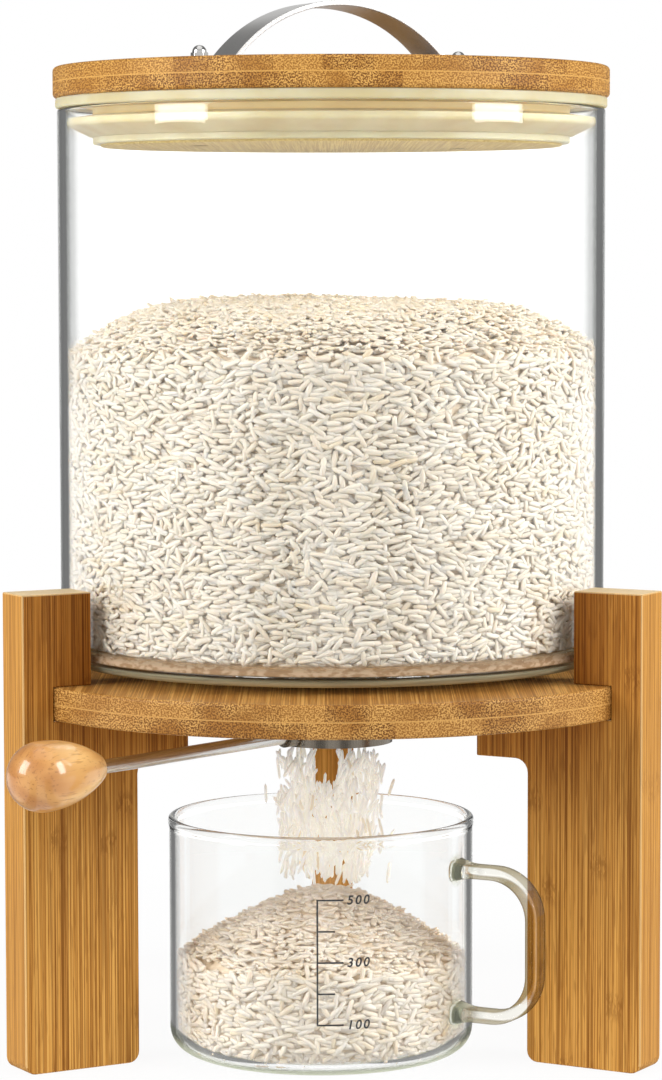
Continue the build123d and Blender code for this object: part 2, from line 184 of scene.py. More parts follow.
class Shader(Nodes):
    """A material's node tree with a Principled surface."""

    def __init__(self, name: str) -> None:
        """Starts a material.

        Args:
            name: The material's name.
        """
        self.material = bpy.data.materials.new(name)
        self.material.use_nodes = True
        super().__init__(self.material.node_tree, "ShaderNodeOutputMaterial")
        self.surface = self.node("ShaderNodeBsdfPrincipled")
        self.show(self.surface.outputs["BSDF"])

    def set(self, **values: object) -> None:
        """Fills inputs of the Principled surface.

        Args:
            values: The inputs' names in lower case with underscores, and what goes in.
        """
        known = {socket.name.lower().replace(" ", "_"): socket for socket in self.surface.inputs}
        for name, value in values.items():
            self.feed(known[name], value)

    def mix(self, share: object, low: object, high: object, blend: str = "MIX") -> Socket:
        """Mixes two colours.

        Args:
            share: How much of the second colour.
            low: The first colour.
            high: The second colour.
            blend: The Mix node's blend type.

        Returns:
            The mixed colour.
        """
        made = self.node("ShaderNodeMix", share, data_type="RGBA", blend_type=blend)
        self.feed(made.inputs[6], low)
        self.feed(made.inputs[7], high)
        return made.outputs[2]

    def place(self, turn: Axes = (0.0, 0.0, 0.0), stretch: Axes = (1.0, 1.0, 1.0)) -> Socket:
        """Object coordinates in millimetres, turned and then stretched.

        Args:
            turn: Euler angles of the turn.
            stretch: Factors along the turned axes.

        Returns:
            The coordinates.
        """
        coordinates = self.node("ShaderNodeTexCoord").outputs["Object"]
        turned = self.node("ShaderNodeMapping", coordinates)
        turned.inputs["Rotation"].default_value = turn
        turned.inputs["Scale"].default_value = (1 / MM, 1 / MM, 1 / MM)
        return self.node("ShaderNodeVectorMath", turned.outputs[0], stretch, operation="MULTIPLY").outputs[0]

    def height(self) -> Socket:
        """The height above the table, in millimetres."""
        return self.split(self.place())[2]

    def radius(self, middle: Axes = (0.0, 0.0, 0.0)) -> Socket:
        """The distance from the upright line through a point of the table, in millimetres."""
        x, y, _ = self.split(self.place())
        return self.distance(self.join(x, y, 0.0), middle)

    def normal(self) -> list[Socket]:
        """The three parts of the surface's direction, in the object's frame."""
        return self.split(self.node("ShaderNodeTexCoord").outputs["Normal"])

    def facing(self) -> Socket:
        """How far the surface is turned away from the eye, from 0 to 1."""
        return self.node("ShaderNodeLayerWeight", 0.5).outputs["Facing"]

    def grain(self, vector: Socket, scale: float, detail: float = 2.0, rough: float = 0.5) -> Socket:
        """A noise value.

        Args:
            vector: Where to read it.
            scale: Its frequency.
            detail: Its octaves.
            rough: How strong the finer octaves are.

        Returns:
            The value, about 0 to 1.
        """
        made = self.node("ShaderNodeTexNoise", vector)
        made.inputs["Scale"].default_value = scale
        made.inputs["Detail"].default_value = detail
        made.inputs["Roughness"].default_value = rough
        return made.outputs[0]

    def random(self, value: Socket) -> Socket:
        """A random value that stays the same for the same input.

        Args:
            value: The input.

        Returns:
            The value, from 0 to 1.
        """
        made = self.node("ShaderNodeTexWhiteNoise", noise_dimensions="1D")
        self.feed(made.inputs["W"], value)
        return made.outputs["Value"]

    def clear(self, color: object) -> Socket:
        """A surface that lets tinted light straight through."""
        return self.node("ShaderNodeBsdfTransparent", color).outputs[0]

    def blend(self, share: object, first: Socket, second: Socket) -> Socket:
        """Two surfaces mixed by the second one's share."""
        return self.node("ShaderNodeMixShader", share, first, second).outputs[0]

    def bump(self, height: Socket, strength: float, depth: float) -> None:
        """Roughens the surface.

        Args:
            height: The relief.
            strength: How much of it shows.
            depth: How deep it is, in metres.
        """
        made = self.node("ShaderNodeBump", strength, depth)
        self.feed(made.inputs["Height"], height)
        self.set(normal=made.outputs["Normal"])


class Grain(Enum):
    """How a bamboo board's fibres run: the turn that brings them to the shader's Z axis."""

    UP = (0.0, 0.0, 0.0)
    DEEP = (math.pi / 2, 0.0, 0.0)


@dataclass(frozen=True)
class Spot:
    """Where a point lies in a bamboo board, in millimetres."""

    shader: Shader
    across: Socket
    thick: Socket
    along: Socket
    run: Socket

    def fibre(self, stretch: float, scale: float, detail: float = 2.0, rough: float = 0.5) -> Socket:
        """A noise value drawn out along the fibres.

        Args:
            stretch: Its frequency along the strip, as a share of that across it.
            scale: Its frequency across the strip.
            detail: Its octaves.
            rough: How strong the finer octaves are.

        Returns:
            The value, about 0 to 1.
        """
        where = self.shader.join(self.across, self.thick, self.shader.times(self.run, stretch))
        return self.shader.grain(where, scale, detail, rough)


@dataclass(frozen=True)
class Bamboo:
    """Laminated bamboo: strips side by side in plies, with fibres, knuckles and stippled end grain, and
    optional painted shade, painted light and painted edge highlights.
    """

    name: str
    grain: Grain = Grain.UP
    azimuth: float = 0.0
    pale: Color = (0.74, 0.39, 0.094)
    honey: Color = (0.60, 0.275, 0.052)
    brown: Color = (0.21, 0.070, 0.008)
    dot: Color = (0.24, 0.095, 0.02)
    # The pale painted highlight that the arris material puts on rounded edges.
    worn: Color = (0.93, 0.68, 0.34)
    # side and its share: painted light on the outer narrow faces.
    side: Color = (0.56, 0.265, 0.048)
    side_share: float = 0.0
    top: Color = (0.88, 0.70, 0.42)
    top_share: float = 0.0
    # shade and its share, start and reach: painted shade on the wide faces, high up and beside the jar.
    shade: Color = (0.66, 0.53, 0.34)
    shade_share: float = 0.0
    shade_start: tuple[float, float] = (70.0, 160.0)
    shade_reach: tuple[float, float] = (126.0, 104.0)
    strip: float = 6.5
    strip_slide: float = 900.0
    strips_to_a_ply: float = 37.0
    ply: float = 6.4
    ply_start: float = 3.2
    streak_share: float = 0.62
    broad_share: float = 0.34
    tone_share: float = 0.22
    line_share: float = 0.56
    bundle_share: float = 0.35
    knuckle_span: float = 210.0
    knuckle_share: float = 0.45
    glue_share: float = 0.55
    ply_line_share: float = 0.75
    pits: float = 1.7
    roughness: float = 0.48
    gloss: float = 0.12

    def material(self, lift: float = 0.0) -> bpy.types.Material:
        """Builds the material.

        Args:
            lift: How far its colour goes towards the pale painted edge highlight.

        Returns:
            The material.
        """
        shader = Shader(self.name if not lift else f"{self.name}_arris")
        turn = self.grain.value if self.grain is Grain.DEEP else (0.0, 0.0, -self.azimuth)
        across, thick, along = shader.split(shader.place(turn))
        plies = shader.math("DIVIDE", shader.minus(thick, self.ply_start), self.ply)
        layer = shader.math("FLOOR", plies)
        shift = shader.times(shader.random(layer), self.strip)
        row = shader.math("DIVIDE", shader.plus(across, shift), self.strip)
        index = shader.plus(shader.math("FLOOR", row), shader.times(layer, self.strips_to_a_ply))
        tone = shader.random(index)
        run = shader.plus(along, shader.times(tone, self.strip_slide))
        spot = Spot(shader, across, thick, along, run)
        fine = spot.fibre(0.004, 1.60, 3.0, 0.66)
        streak = shader.span(fine, 0.40, 0.59)
        broad = spot.fibre(0.010, 0.22)
        level = shader.plus(shader.times(streak, self.streak_share), shader.times(broad, self.broad_share))
        level = shader.plus(level, shader.times(tone, self.tone_share))
        dark = shader.mix(shader.span(level, 0.05, 0.55), self.brown, self.honey)
        color = shader.mix(shader.span(level, 0.50, 1.05), dark, self.pale)
        color = self.with_fibres(color, spot)
        color = self.with_knuckles(color, spot)
        color, dots = self.with_end_grain(color, spot, tone)
        color = self.with_joints(shader, color, row, plies)
        color = self.with_faces(color, spot)
        # Painted highlight, for the arris material.
        color = shader.mix(lift, color, self.worn)
        gloss = shader.plus(self.roughness - 0.06, shader.times(fine, 0.12))
        shader.set(base_color=color, roughness=gloss, specular_ior_level=self.gloss)
        shader.bump(shader.plus(shader.times(streak, 0.5), dots), 0.25, 0.00012)
        return shader.material

    def with_faces(self, color: Socket, spot: Spot) -> Socket:
        """Paints shade on the wide faces, deeper high up and deeper again beside the jar that shades them,
        paints light on the outer narrow faces, and makes the tops paler.

        Args:
            color: The colour so far.
            spot: The place in the board.

        Returns:
            The new colour.
        """
        shader = spot.shader
        x, y, up = shader.normal()
        out = shader.plus(shader.times(x, math.cos(self.azimuth)), shader.times(y, math.sin(self.azimuth)))
        side = shader.span(shader.math("ABSOLUTE", out), 0.5, 0.85)
        # Painted shade on the wide faces: high up, and deeper beside the jar.
        wide = shader.times(shader.minus(1.0, side), self.shade_share)
        high = shader.times(shader.span(spot.along, *self.shade_start, 0.0, 0.8), wide)
        beside = shader.times(shader.span(spot.across, *self.shade_reach, 0.0, 1.25), high)
        for share in (high, beside):
            color = shader.mix(share, color, self.shade, "MULTIPLY")
        # Painted light on the outer narrow faces.
        color = shader.mix(shader.times(side, self.side_share), color, self.side)
        return shader.mix(shader.span(up, 0.6, 0.95, 0.0, self.top_share), color, self.top)

    def with_fibres(self, color: Socket, spot: Spot) -> Socket:
        """Adds the long thin lines and the short dashes of single fibre bundles.

        Args:
            color: The colour so far.
            spot: The place in the board.

        Returns:
            The new colour.
        """
        shader = spot.shader
        lines = shader.span(spot.fibre(0.006, 1.70, 1.0, 0.7), 0.49, 0.60, 0.0, self.line_share)
        bundles = shader.span(spot.fibre(0.07, 1.25, 1.0), 0.56, 0.70, 0.0, self.bundle_share)
        return shader.mix(bundles, shader.mix(lines, color, self.brown), self.brown)

    def with_knuckles(self, color: Socket, spot: Spot) -> Socket:
        """Adds the knuckles, short bands where the fibres break up.

        Args:
            color: The colour so far.
            spot: The place in the board.

        Returns:
            The new colour.
        """
        shader = spot.shader
        phase = shader.math("FRACT", shader.math("DIVIDE", spot.run, self.knuckle_span))
        away = shader.times(shader.math("ABSOLUTE", shader.minus(phase, 0.5)), self.knuckle_span)
        band = shader.times(shader.span(away, 7.0, 1.5), shader.span(spot.fibre(0.25, 1.4), 0.42, 0.56))
        return shader.mix(shader.times(band, self.knuckle_share), color, self.brown)

    def with_end_grain(self, color: Socket, spot: Spot, tone: Socket) -> tuple[Socket, Socket]:
        """Adds the stipple of cut fibres on faces that cross the grain.

        Args:
            color: The colour so far.
            spot: The place in the board.
            tone: The strip's own random value.

        Returns:
            The new colour, and the stipple's relief.
        """
        shader = spot.shader
        end = shader.math("ABSOLUTE", shader.normal()[1 if self.grain is Grain.DEEP else 2])
        mask = shader.span(end, 0.22, 0.42)
        cut = shader.join(spot.across, spot.thick, 0.0)
        dots = shader.span(shader.grain(cut, self.pits, 1.0, 0.6), 0.42, 0.59)
        ground = shader.mix(shader.span(tone, 0.0, 1.0, 0.0, 0.55), self.dot, self.honey)
        light = shader.mix(shader.span(shader.grain(cut, 0.09), 0.35, 0.65), self.honey, self.pale)
        light = shader.mix(shader.span(tone, 0.4, 1.0, 0.0, 0.7), light, self.pale)
        return shader.mix(mask, color, shader.mix(dots, ground, light)), shader.times(mask, dots)

    def with_joints(self, shader: Shader, color: Socket, row: Socket, plies: Socket) -> Socket:
        """Adds the glue lines between strips and the pale line between plies.

        Args:
            shader: The material's tree.
            color: The colour so far.
            row: Strips counted across the board.
            plies: Plies counted through it.

        Returns:
            The new colour.
        """
        side = shader.times(shader.math("PINGPONG", row, 0.5), self.strip)
        color = shader.mix(shader.span(side, 0.16, 0.05, 0.0, self.glue_share), color, self.brown)
        height = shader.times(shader.math("PINGPONG", plies, 0.5), self.ply)
        return shader.mix(shader.span(height, 0.34, 0.12, 0.0, self.ply_line_share), color, self.pale)


@dataclass(frozen=True)
class Steel:
    """Brushed stainless steel, its brush lines along one direction; where a share is given, faces that look
    down take painted shade.
    """

    name: str
    turn: Axes = (0.0, 0.0, 0.0)
    stretch: Axes = (0.02, 1.0, 1.0)
    tint: Color = (0.74, 0.73, 0.71)
    roughness: float = 0.24
    # Share and colour of the painted shade on faces that look down.
    matt_below: float = 0.0
    below: Color = (0.42, 0.50, 0.62)
    line: Color = (0.86, 0.86, 0.86)

    def material(self) -> bpy.types.Material:
        """Builds the material.

        Returns:
            The material.
        """
        shader = Shader(self.name)
        lines = shader.grain(shader.place(self.turn, self.stretch), 3.2, 3.0, 0.7)
        smear = shader.grain(shader.place(self.turn), 0.05)
        shade = shader.mix(shader.span(lines, 0.3, 0.7), self.line, (1.0, 1.0, 1.0))
        # Painted shade: faces that look down lose their metal and take the darker colour below.
        underside_shade_share = shader.span(shader.normal()[2], 0.0, -0.35, 0.0, self.matt_below)
        rough = shader.plus(self.roughness - 0.06, shader.times(smear, 0.14))
        shader.set(base_color=shader.mix(1.0, shader.mix(underside_shade_share, self.tint, self.below), shade, "MULTIPLY"),
                   metallic=shader.minus(1.0, underside_shade_share), roughness=shader.plus(rough, shader.times(lines, 0.08)))
        shader.bump(lines, 0.12, 0.00002)
        return shader.material


@dataclass(frozen=True)
class Silicone:
    """Milky cream silicone, with a painted glow, an emission that lightens the shaded neck of the seal,
    inside a radius and above a level, in millimetres.
    """

    name: str = "silicone_cream"
    milk: Color = (0.71, 0.62, 0.40)
    warm: Color = (0.63, 0.51, 0.28)
    seep: Color = (0.52, 0.40, 0.17)
    seep_radius: float = 0.0
    seep_level: float = 0.0
    seep_share: float = 0.55

    def material(self) -> bpy.types.Material:
        """Builds the material.

        Returns:
            The material.
        """
        shader = Shader(self.name)
        rim = self.seep_radius
        # Painted glow: emission that lightens the seal's shaded neck.
        inside = shader.span(shader.radius(), rim + 3.0, rim + 0.5, 0.0, self.seep_share)
        above = shader.span(shader.height(), self.seep_level - 1.0, self.seep_level)
        cloud = shader.grain(shader.place(), 0.06, 3.0)
        shader.set(base_color=shader.mix(shader.span(cloud, 0.3, 0.75), self.milk, self.warm),
                   roughness=shader.span(cloud, 0.2, 0.8, 0.34, 0.5), subsurface_weight=0.6,
                   subsurface_radius=(0.010, 0.0075, 0.0035), subsurface_scale=1.0,
                   emission_color=self.seep, emission_strength=shader.times(inside, above))
        return shader.material


@dataclass(frozen=True)
class Glass:
    """Clear glass, a little green where it is seen edge on."""

    name: str
    edge: Color = (0.80, 0.84, 0.80)
    body: Color = (0.985, 0.99, 0.985)
    start: float = 0.70
    end: float = 0.95
    ior: float = 1.47
    haze: Color = (0.66, 0.70, 0.52)
    shadow: Color = (0.93, 0.94, 0.93)
    thin_face: Color = (0.97, 0.96, 0.92)
    thin_rim: Color = (0.40, 0.34, 0.20)

    def hazy(self, shader: Shader) -> object:
        """The share, from 0 to 1, by which the glass looks milky at a place."""
        return 0.0

    def tint(self, shader: Shader) -> object:
        """The colour of the milky places."""
        return self.haze

    def thin(self, shader: Shader) -> object:
        """The share, from 0 to 1, by which the glass doesn't bend the light at a place."""
        return 0.0

    def material(self) -> bpy.types.Material:
        """Builds the material.

        Returns:
            The material.
        """
        shader = Shader(self.name)
        wave = shader.grain(shader.place(), 0.012, 1.0)
        turned = shader.plus(shader.facing(), shader.times(shader.minus(wave, 0.5), 0.02))
        color = shader.mix(shader.span(turned, self.start, self.end), self.body, self.edge)
        shader.set(base_color=color, roughness=0.0, ior=self.ior, transmission_weight=1.0)
        milk = shader.node("ShaderNodeBsdfDiffuse", self.tint(shader)).outputs[0]
        surface = shader.blend(self.hazy(shader), shader.surface.outputs[0], milk)
        rim = shader.mix(shader.span(turned, 0.25, 0.75), self.thin_face, self.thin_rim)
        surface = shader.blend(self.thin(shader), surface, shader.clear(rim))
        lit = shader.node("ShaderNodeLightPath").outputs["Is Shadow Ray"]
        shader.show(shader.blend(lit, surface, shader.clear(self.shadow)))
        return shader.material


@dataclass(frozen=True)
class BaseGlass(Glass):
    """Glass with light and shade painted into its thick base: painted light in streaks and at the sides,
    painted shade in front, and above it a painted band of rice in shade.
    """

    foot: float = 0.0
    # front: painted shade where the base faces the eye; gleam and gleam_deep: the painted tan of rice in
    # shade, just above the base.
    front: Color = (0.17, 0.16, 0.085)
    gleam: Color = (0.66, 0.50, 0.335)
    gleam_deep: Color = (0.44, 0.29, 0.165)
    base_share: float = 0.62
    gleam_share: float = 0.82

    def above_foot(self, shader: Shader) -> Socket:
        """The height above the glass's foot, in millimetres."""
        return shader.minus(shader.height(), self.foot)

    def hazy(self, shader: Shader) -> Socket:
        """How far the base looks milky at a height.

        Args:
            shader: The material's tree.

        Returns:
            A share from 0 to 1.
        """
        height = self.above_foot(shader)
        lines = shader.grain(shader.place(stretch=(0.04, 0.04, 1.0)), 0.9, 1.0)
        # Painted light: pale streaks in the base.
        base = shader.times(shader.span(height, 3.4, 2.6, 0.0, self.base_share),
                            shader.span(lines, 0.35, 0.65, 0.6, 1.0))
        # The painted band of rice in shade, just above the base.
        gleam = shader.times(shader.span(height, 3.9, 4.5),
                             shader.span(height, 9.0, 5.0, 0.0, self.gleam_share))
        return shader.math("MAXIMUM", base, gleam)

    def tint(self, shader: Shader) -> Socket:
        """The painted colour of the milky base: painted shade in front, painted light at the sides, and above
        it the painted tan of rice in shade.

        Args:
            shader: The material's tree.

        Returns:
            The colour.
        """
        # Painted shade where the base faces the eye, painted light at its sides.
        low = shader.mix(shader.span(shader.facing(), 0.05, 0.30), self.front, self.haze)
        kernels = shader.grain(shader.place(stretch=(0.5, 0.5, 1.1)), 0.62)
        gleam = shader.mix(shader.span(kernels, 0.40, 0.58), self.gleam_deep, self.gleam)
        return shader.mix(shader.span(self.above_foot(shader), 3.5, 4.0), low, gleam)


@dataclass(frozen=True)
class EaredGlass(Glass):
    """Glass that looks milky at its foot and where an ear is fused on."""

    roots: tuple[Vector, ...] = ()
    axis: Axes = (0.0, 0.0, 0.0)
    bowl: float = 0.0
    root_reach: float = 7.5
    root_share: float = 0.45
    foot_share: float = 0.60
    ear_share: float = 0.84

    def hazy(self, shader: Shader) -> Socket:
        """How far the glass looks milky near the ear's roots and at the foot.

        Args:
            shader: The material's tree.

        Returns:
            A share from 0 to 1.
        """
        edge_on = shader.span(shader.facing(), 0.40, 0.80, 0.0, self.foot_share)
        share = shader.times(shader.span(shader.height(), 9.0, 4.0), edge_on)
        for root in self.roots:
            away = shader.distance(shader.place(), tuple(root))
            near = shader.span(away, self.root_reach, self.root_reach / 2, 0.0, self.root_share)
            share = shader.math("MAXIMUM", share, near)
        return share

    def thin(self, shader: Shader) -> Socket:
        """The share by which the ear shows what is behind it."""
        return shader.span(shader.radius(self.axis), self.bowl + 3.0, self.bowl + 8.0, 0.0, self.ear_share)


@dataclass(frozen=True)
class Lacquer:
    """Pale turned wood under clear lacquer, its grain along one direction."""

    name: str
    turn: Axes
    amber_start: float
    amber_end: float
    light: Color = (0.86, 0.52, 0.195)
    deep: Color = (0.68, 0.35, 0.105)
    pore: Color = (0.36, 0.14, 0.03)
    amber: Color = (0.78, 0.62, 0.46)

    def material(self) -> bpy.types.Material:
        """Builds the material.

        Returns:
            The material.
        """
        shader = Shader(self.name)
        along = shader.place(self.turn, (0.05, 1.0, 1.0))
        wide = shader.grain(along, 0.14, 2.0, 0.4)
        pores = shader.grain(along, 1.1, 2.0, 0.6)
        color = shader.mix(shader.span(wide, 0.32, 0.68), self.light, self.deep)
        color = shader.mix(shader.span(pores, 0.54, 0.70, 0.0, 0.5), color, self.pore)
        # Darker towards the knob's outer end.
        end = shader.span(shader.split(shader.place(self.turn))[0], self.amber_start, self.amber_end)
        shader.set(base_color=shader.mix(end, color, self.amber, "MULTIPLY"),
                   roughness=shader.span(wide, 0.2, 0.8, 0.30, 0.42), coat_weight=0.9, coat_roughness=0.06)
        return shader.material


@dataclass(frozen=True)
class RiceSkin:
    """Long white rice: each grain its own tone between chalky and glassy, with an optional painted glow."""

    name: str
    chalk: Color = (0.765, 0.68, 0.585)
    cream: Color = (0.715, 0.62, 0.51)
    amber: Color = (0.68, 0.56, 0.40)
    # Emission strength: a painted glow, not a lamp.
    glow: float = 0.0

    def material(self) -> bpy.types.Material:
        """Builds the material.

        Returns:
            The material.
        """
        shader = Shader(self.name)
        grain = shader.node("ShaderNodeNewGeometry").outputs["Random Per Island"]
        color = shader.mix(shader.span(grain, 0.15, 0.75), self.chalk, self.cream)
        color = shader.mix(shader.span(grain, 0.93, 1.0, 0.0, 0.7), color, self.amber)
        shader.set(base_color=color, roughness=shader.span(grain, 0.0, 1.0, 0.42, 0.58),
                   subsurface_weight=0.45, subsurface_radius=(0.0018, 0.0014, 0.0010), subsurface_scale=1.0,
                   specular_ior_level=0.35, emission_color=color, emission_strength=self.glow)
        return shader.material


@dataclass(frozen=True)
class RiceCore:
    """The rice behind the outer grains, painted in patches of lit and shaded tones: painted shade in the gaps
    between the grains.
    """

    name: str
    light: Color = (0.84, 0.72, 0.57)
    shade: Color = (0.74, 0.61, 0.45)

    def material(self) -> bpy.types.Material:
        """Builds the material.

        Returns:
            The material.
        """
        shader = Shader(self.name)
        cells = shader.node("ShaderNodeTexVoronoi", shader.place(stretch=(0.4, 0.4, 0.6)))
        cells.inputs["Scale"].default_value = 1.0
        color = shader.mix(shader.span(cells.outputs["Distance"], 0.15, 0.65), self.light, self.shade)
        shader.set(base_color=color, roughness=0.7)
        return shader.material


@dataclass(frozen=True)
class Ink:
    """Black printed enamel."""

    name: str = "scale_ink"
    deep: Color = (0.012, 0.012, 0.013)
    grey: Color = (0.05, 0.05, 0.052)

    def material(self) -> bpy.types.Material:
        """Builds the material.

        Returns:
            The material.
        """
        shader = Shader(self.name)
        speck = shader.grain(shader.place(), 2.0)
        shader.set(base_color=shader.mix(speck, self.deep, self.grey), roughness=0.42)
        return shader.material


# Meshes


@dataclass(frozen=True)
class Corner:
    """One corner of an outline: its distance from the axis, its height and how far it is rounded."""

    radius: float
    height: float
    round: float = 0.0
    steps: int = 5


def round_off(bm: BMesh, items: list, width: float, steps: int, affect: str = "EDGES") -> list[BMFace]:
    """Rounds corners or edges.

    Args:
        bm: The mesh.
        items: The corners or edges.
        width: The rounding's size.
        steps: Its steps.
        affect: What the items are, VERTICES or EDGES.

    Returns:
        The new faces.
    """
    made = bmesh.ops.bevel(bm, geom=items, offset=width, offset_type="OFFSET", segments=steps, profile=0.5,
                           affect=affect, clamp_overlap=affect == "EDGES", material=-1)
    return made["faces"]


def outline(corners: Sequence[Corner]) -> BMesh:
    """Makes one face in the XZ plane and rounds its corners.

    Args:
        corners: The face's corners in order.

    Returns:
        The mesh of that face.
    """
    bm = bmesh.new()
    points = [bm.verts.new((corner.radius, 0.0, corner.height)) for corner in corners]
    bm.faces.new(points)
    for point, corner in zip(points, corners):
        if corner.round:
            round_off(bm, [point], corner.round, corner.steps, "VERTICES")
    return bm


def weld(bm: BMesh) -> None:
    """Merges doubles and turns the faces outwards."""
    bmesh.ops.remove_doubles(bm, verts=bm.verts[:], dist=0.000002)
    bmesh.ops.recalc_face_normals(bm, faces=bm.faces[:])


def turn_round(bm: BMesh, steps: int) -> None:
    """Turns an open outline once about the Z axis.

    Args:
        bm: The outline's mesh.
        steps: Steps of the turn.
    """
    bmesh.ops.spin(bm, geom=bm.verts[:] + bm.edges[:], cent=(0, 0, 0), axis=(0, 0, 1), angle=math.tau,
                   steps=steps, use_merge=True, use_duplicate=False)
    weld(bm)


def lathe(corners: Sequence[Corner], steps: int) -> BMesh:
    """Turns a closed outline about the Z axis.

    Args:
        corners: The outline's corners in order.
        steps: Steps of the turn.

    Returns:
        The turned mesh.
    """
    bm = outline(corners)
    bmesh.ops.delete(bm, geom=bm.faces[:], context="FACES_ONLY")
    axis = [edge for edge in bm.edges if all(point.co.x < 1e-7 for point in edge.verts)]
    bmesh.ops.delete(bm, geom=axis, context="EDGES")
    turn_round(bm, steps)
    return bm


def drum(radius: float, low: float, high: float, rounds: tuple[float, float], bore: float = 0.0,
         steps: int = 192) -> BMesh:
    """Turns a rectangle: a disc, a ring or a rod.

    Args:
        radius: Its outer radius.
        low: Its lower end.
        high: Its upper end.
        rounds: How far its lower and its upper edge are rounded.
        bore: The radius of its hole.
        steps: Steps of the turn.

    Returns:
        The turned mesh.
    """
    return lathe([Corner(bore, low), Corner(radius, low, rounds[0]), Corner(radius, high, rounds[1]),
                  Corner(bore, high)], steps)


def section(bm: BMesh, reach: float, width: float, thickness: float, level: float) -> BMFace:
    """Adds a bar's cross section, an upright rectangle across the X axis.

    Args:
        bm: The mesh.
        reach: Its place along X.
        width: Its size along Y.
        thickness: Its size along Z.
        level: The height of its middle.

    Returns:
        The rectangle.
    """
    points = [bm.verts.new((reach, side * width / 2, level + up * thickness / 2))
              for side, up in ((-1, -1), (1, -1), (1, 1), (-1, 1))]
    return bm.faces.new(points)


def only(items: Sequence[object], kind: type) -> list:
    """The items of one kind."""
    return [item for item in items if isinstance(item, kind)]


def sharp_edges(bm: BMesh, angle: float) -> list[BMEdge]:
    """The edges whose faces meet at more than an angle."""
    return [edge for edge in bm.edges if len(edge.link_faces) == 2 and edge.calc_face_angle() > angle]


def soften(bm: BMesh, width: float, steps: int = 2, angle: float = 0.6) -> list[BMFace]:
    """Rounds every edge sharper than an angle and gives the new faces."""
    return round_off(bm, sharp_edges(bm, angle), width, steps)


def moved(bm: BMesh, matrix: Matrix) -> None:
    """Moves the whole mesh."""
    bmesh.ops.transform(bm, matrix=matrix, verts=bm.verts[:])


def as_mesh(bm: BMesh, name: str) -> bpy.types.Mesh:
    """Makes a mesh and frees its source.

    Args:
        bm: The source.
        name: The mesh's name.

    Returns:
        The mesh.
    """
    mesh = bpy.data.meshes.new(name)
    bm.to_mesh(mesh)
    bm.free()
    return mesh


def absorb(bm: BMesh, part: BMesh) -> None:
    """Adds a mesh to another and frees it.

    Args:
        bm: The mesh that grows.
        part: The mesh that goes in.
    """
    scratch = as_mesh(part, "scratch")
    bm.from_mesh(scratch)
    bpy.data.meshes.remove(scratch)


def added(name: str, data: bpy.types.ID) -> bpy.types.Object:
    """Adds an object to the scene.

    Args:
        name: The object's name.
        data: Its mesh, text, light or camera.

    Returns:
        The object.
    """
    made = bpy.data.objects.new(name, data)
    bpy.context.scene.collection.objects.link(made)
    return made


def evaluated(made: bpy.types.Object) -> bpy.types.Mesh:
    """The mesh that an object's modifiers or its text come to."""
    bpy.context.view_layer.update()
    return bpy.data.meshes.new_from_object(made.evaluated_get(bpy.context.evaluated_depsgraph_get()))


def about_axis(azimuth: float) -> Matrix:
    """A turn about the Z axis, in radians."""
    return Matrix.Rotation(azimuth, 4, "Z")


def piece(bm: BMesh, name: str, materials: Sequence[bpy.types.Material], body: Body, slot: Slot | None = None,
          stands_for: Sequence[str] = (), smooth: float = 0.62) -> bpy.types.Object:
    """Makes an object of a mesh and hangs it on the frame.

    Args:
        bm: The mesh, freed here.
        name: The object's name.
        materials: Its materials.
        body: The body it rides on.
        slot: The material slot it belongs to; not used.
        stands_for: The CAD nodes it replaces.
        smooth: Edges sharper than this angle stay sharp.

    Returns:
        The object.
    """
    mesh = as_mesh(bm, name)
    mesh.shade_smooth()
    mesh.set_sharp_from_angle(angle=smooth)
    for material in materials:
        mesh.materials.append(material)
    made = added(f"{name}_look", mesh)
    if smooth < FULLY_SMOOTH:
        even_normals(made)
    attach(made, body.value)
    if stands_for:
        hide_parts(*stands_for)
    log.info("%s: %d faces on %s", name, len(mesh.polygons), body.value)
    return made


def even_normals(made: bpy.types.Object) -> None:
    """Keeps large faces flat to the light beside narrow roundings.

    Args:
        made: The object.
    """
    even = made.modifiers.new("even_normals", "WEIGHTED_NORMAL")
    even.mode = "FACE_AREA"
    even.weight = 100
    even.keep_sharp = True


def dress(node: str, material: bpy.types.Material, body: Body, slot: Slot) -> None:
    """Stands a merged, evenly shaded copy in for a CAD node.

    Args:
        node: The CAD node.
        material: The copy's material.
        body: The body it rides on.
        slot: The material slot it belongs to.
    """
    bm = bmesh.new()
    bm.from_mesh(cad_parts[node].data)
    weld(bm)
    for face in bm.faces:
        face.material_index = 0
    piece(bm, node, [material], body, slot, [node], smooth=0.5)


def middle(node: str) -> Vector:
    """The middle of a CAD node's box."""
    low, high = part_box(node)
    return (low + high) / 2


# Sub-assemblies


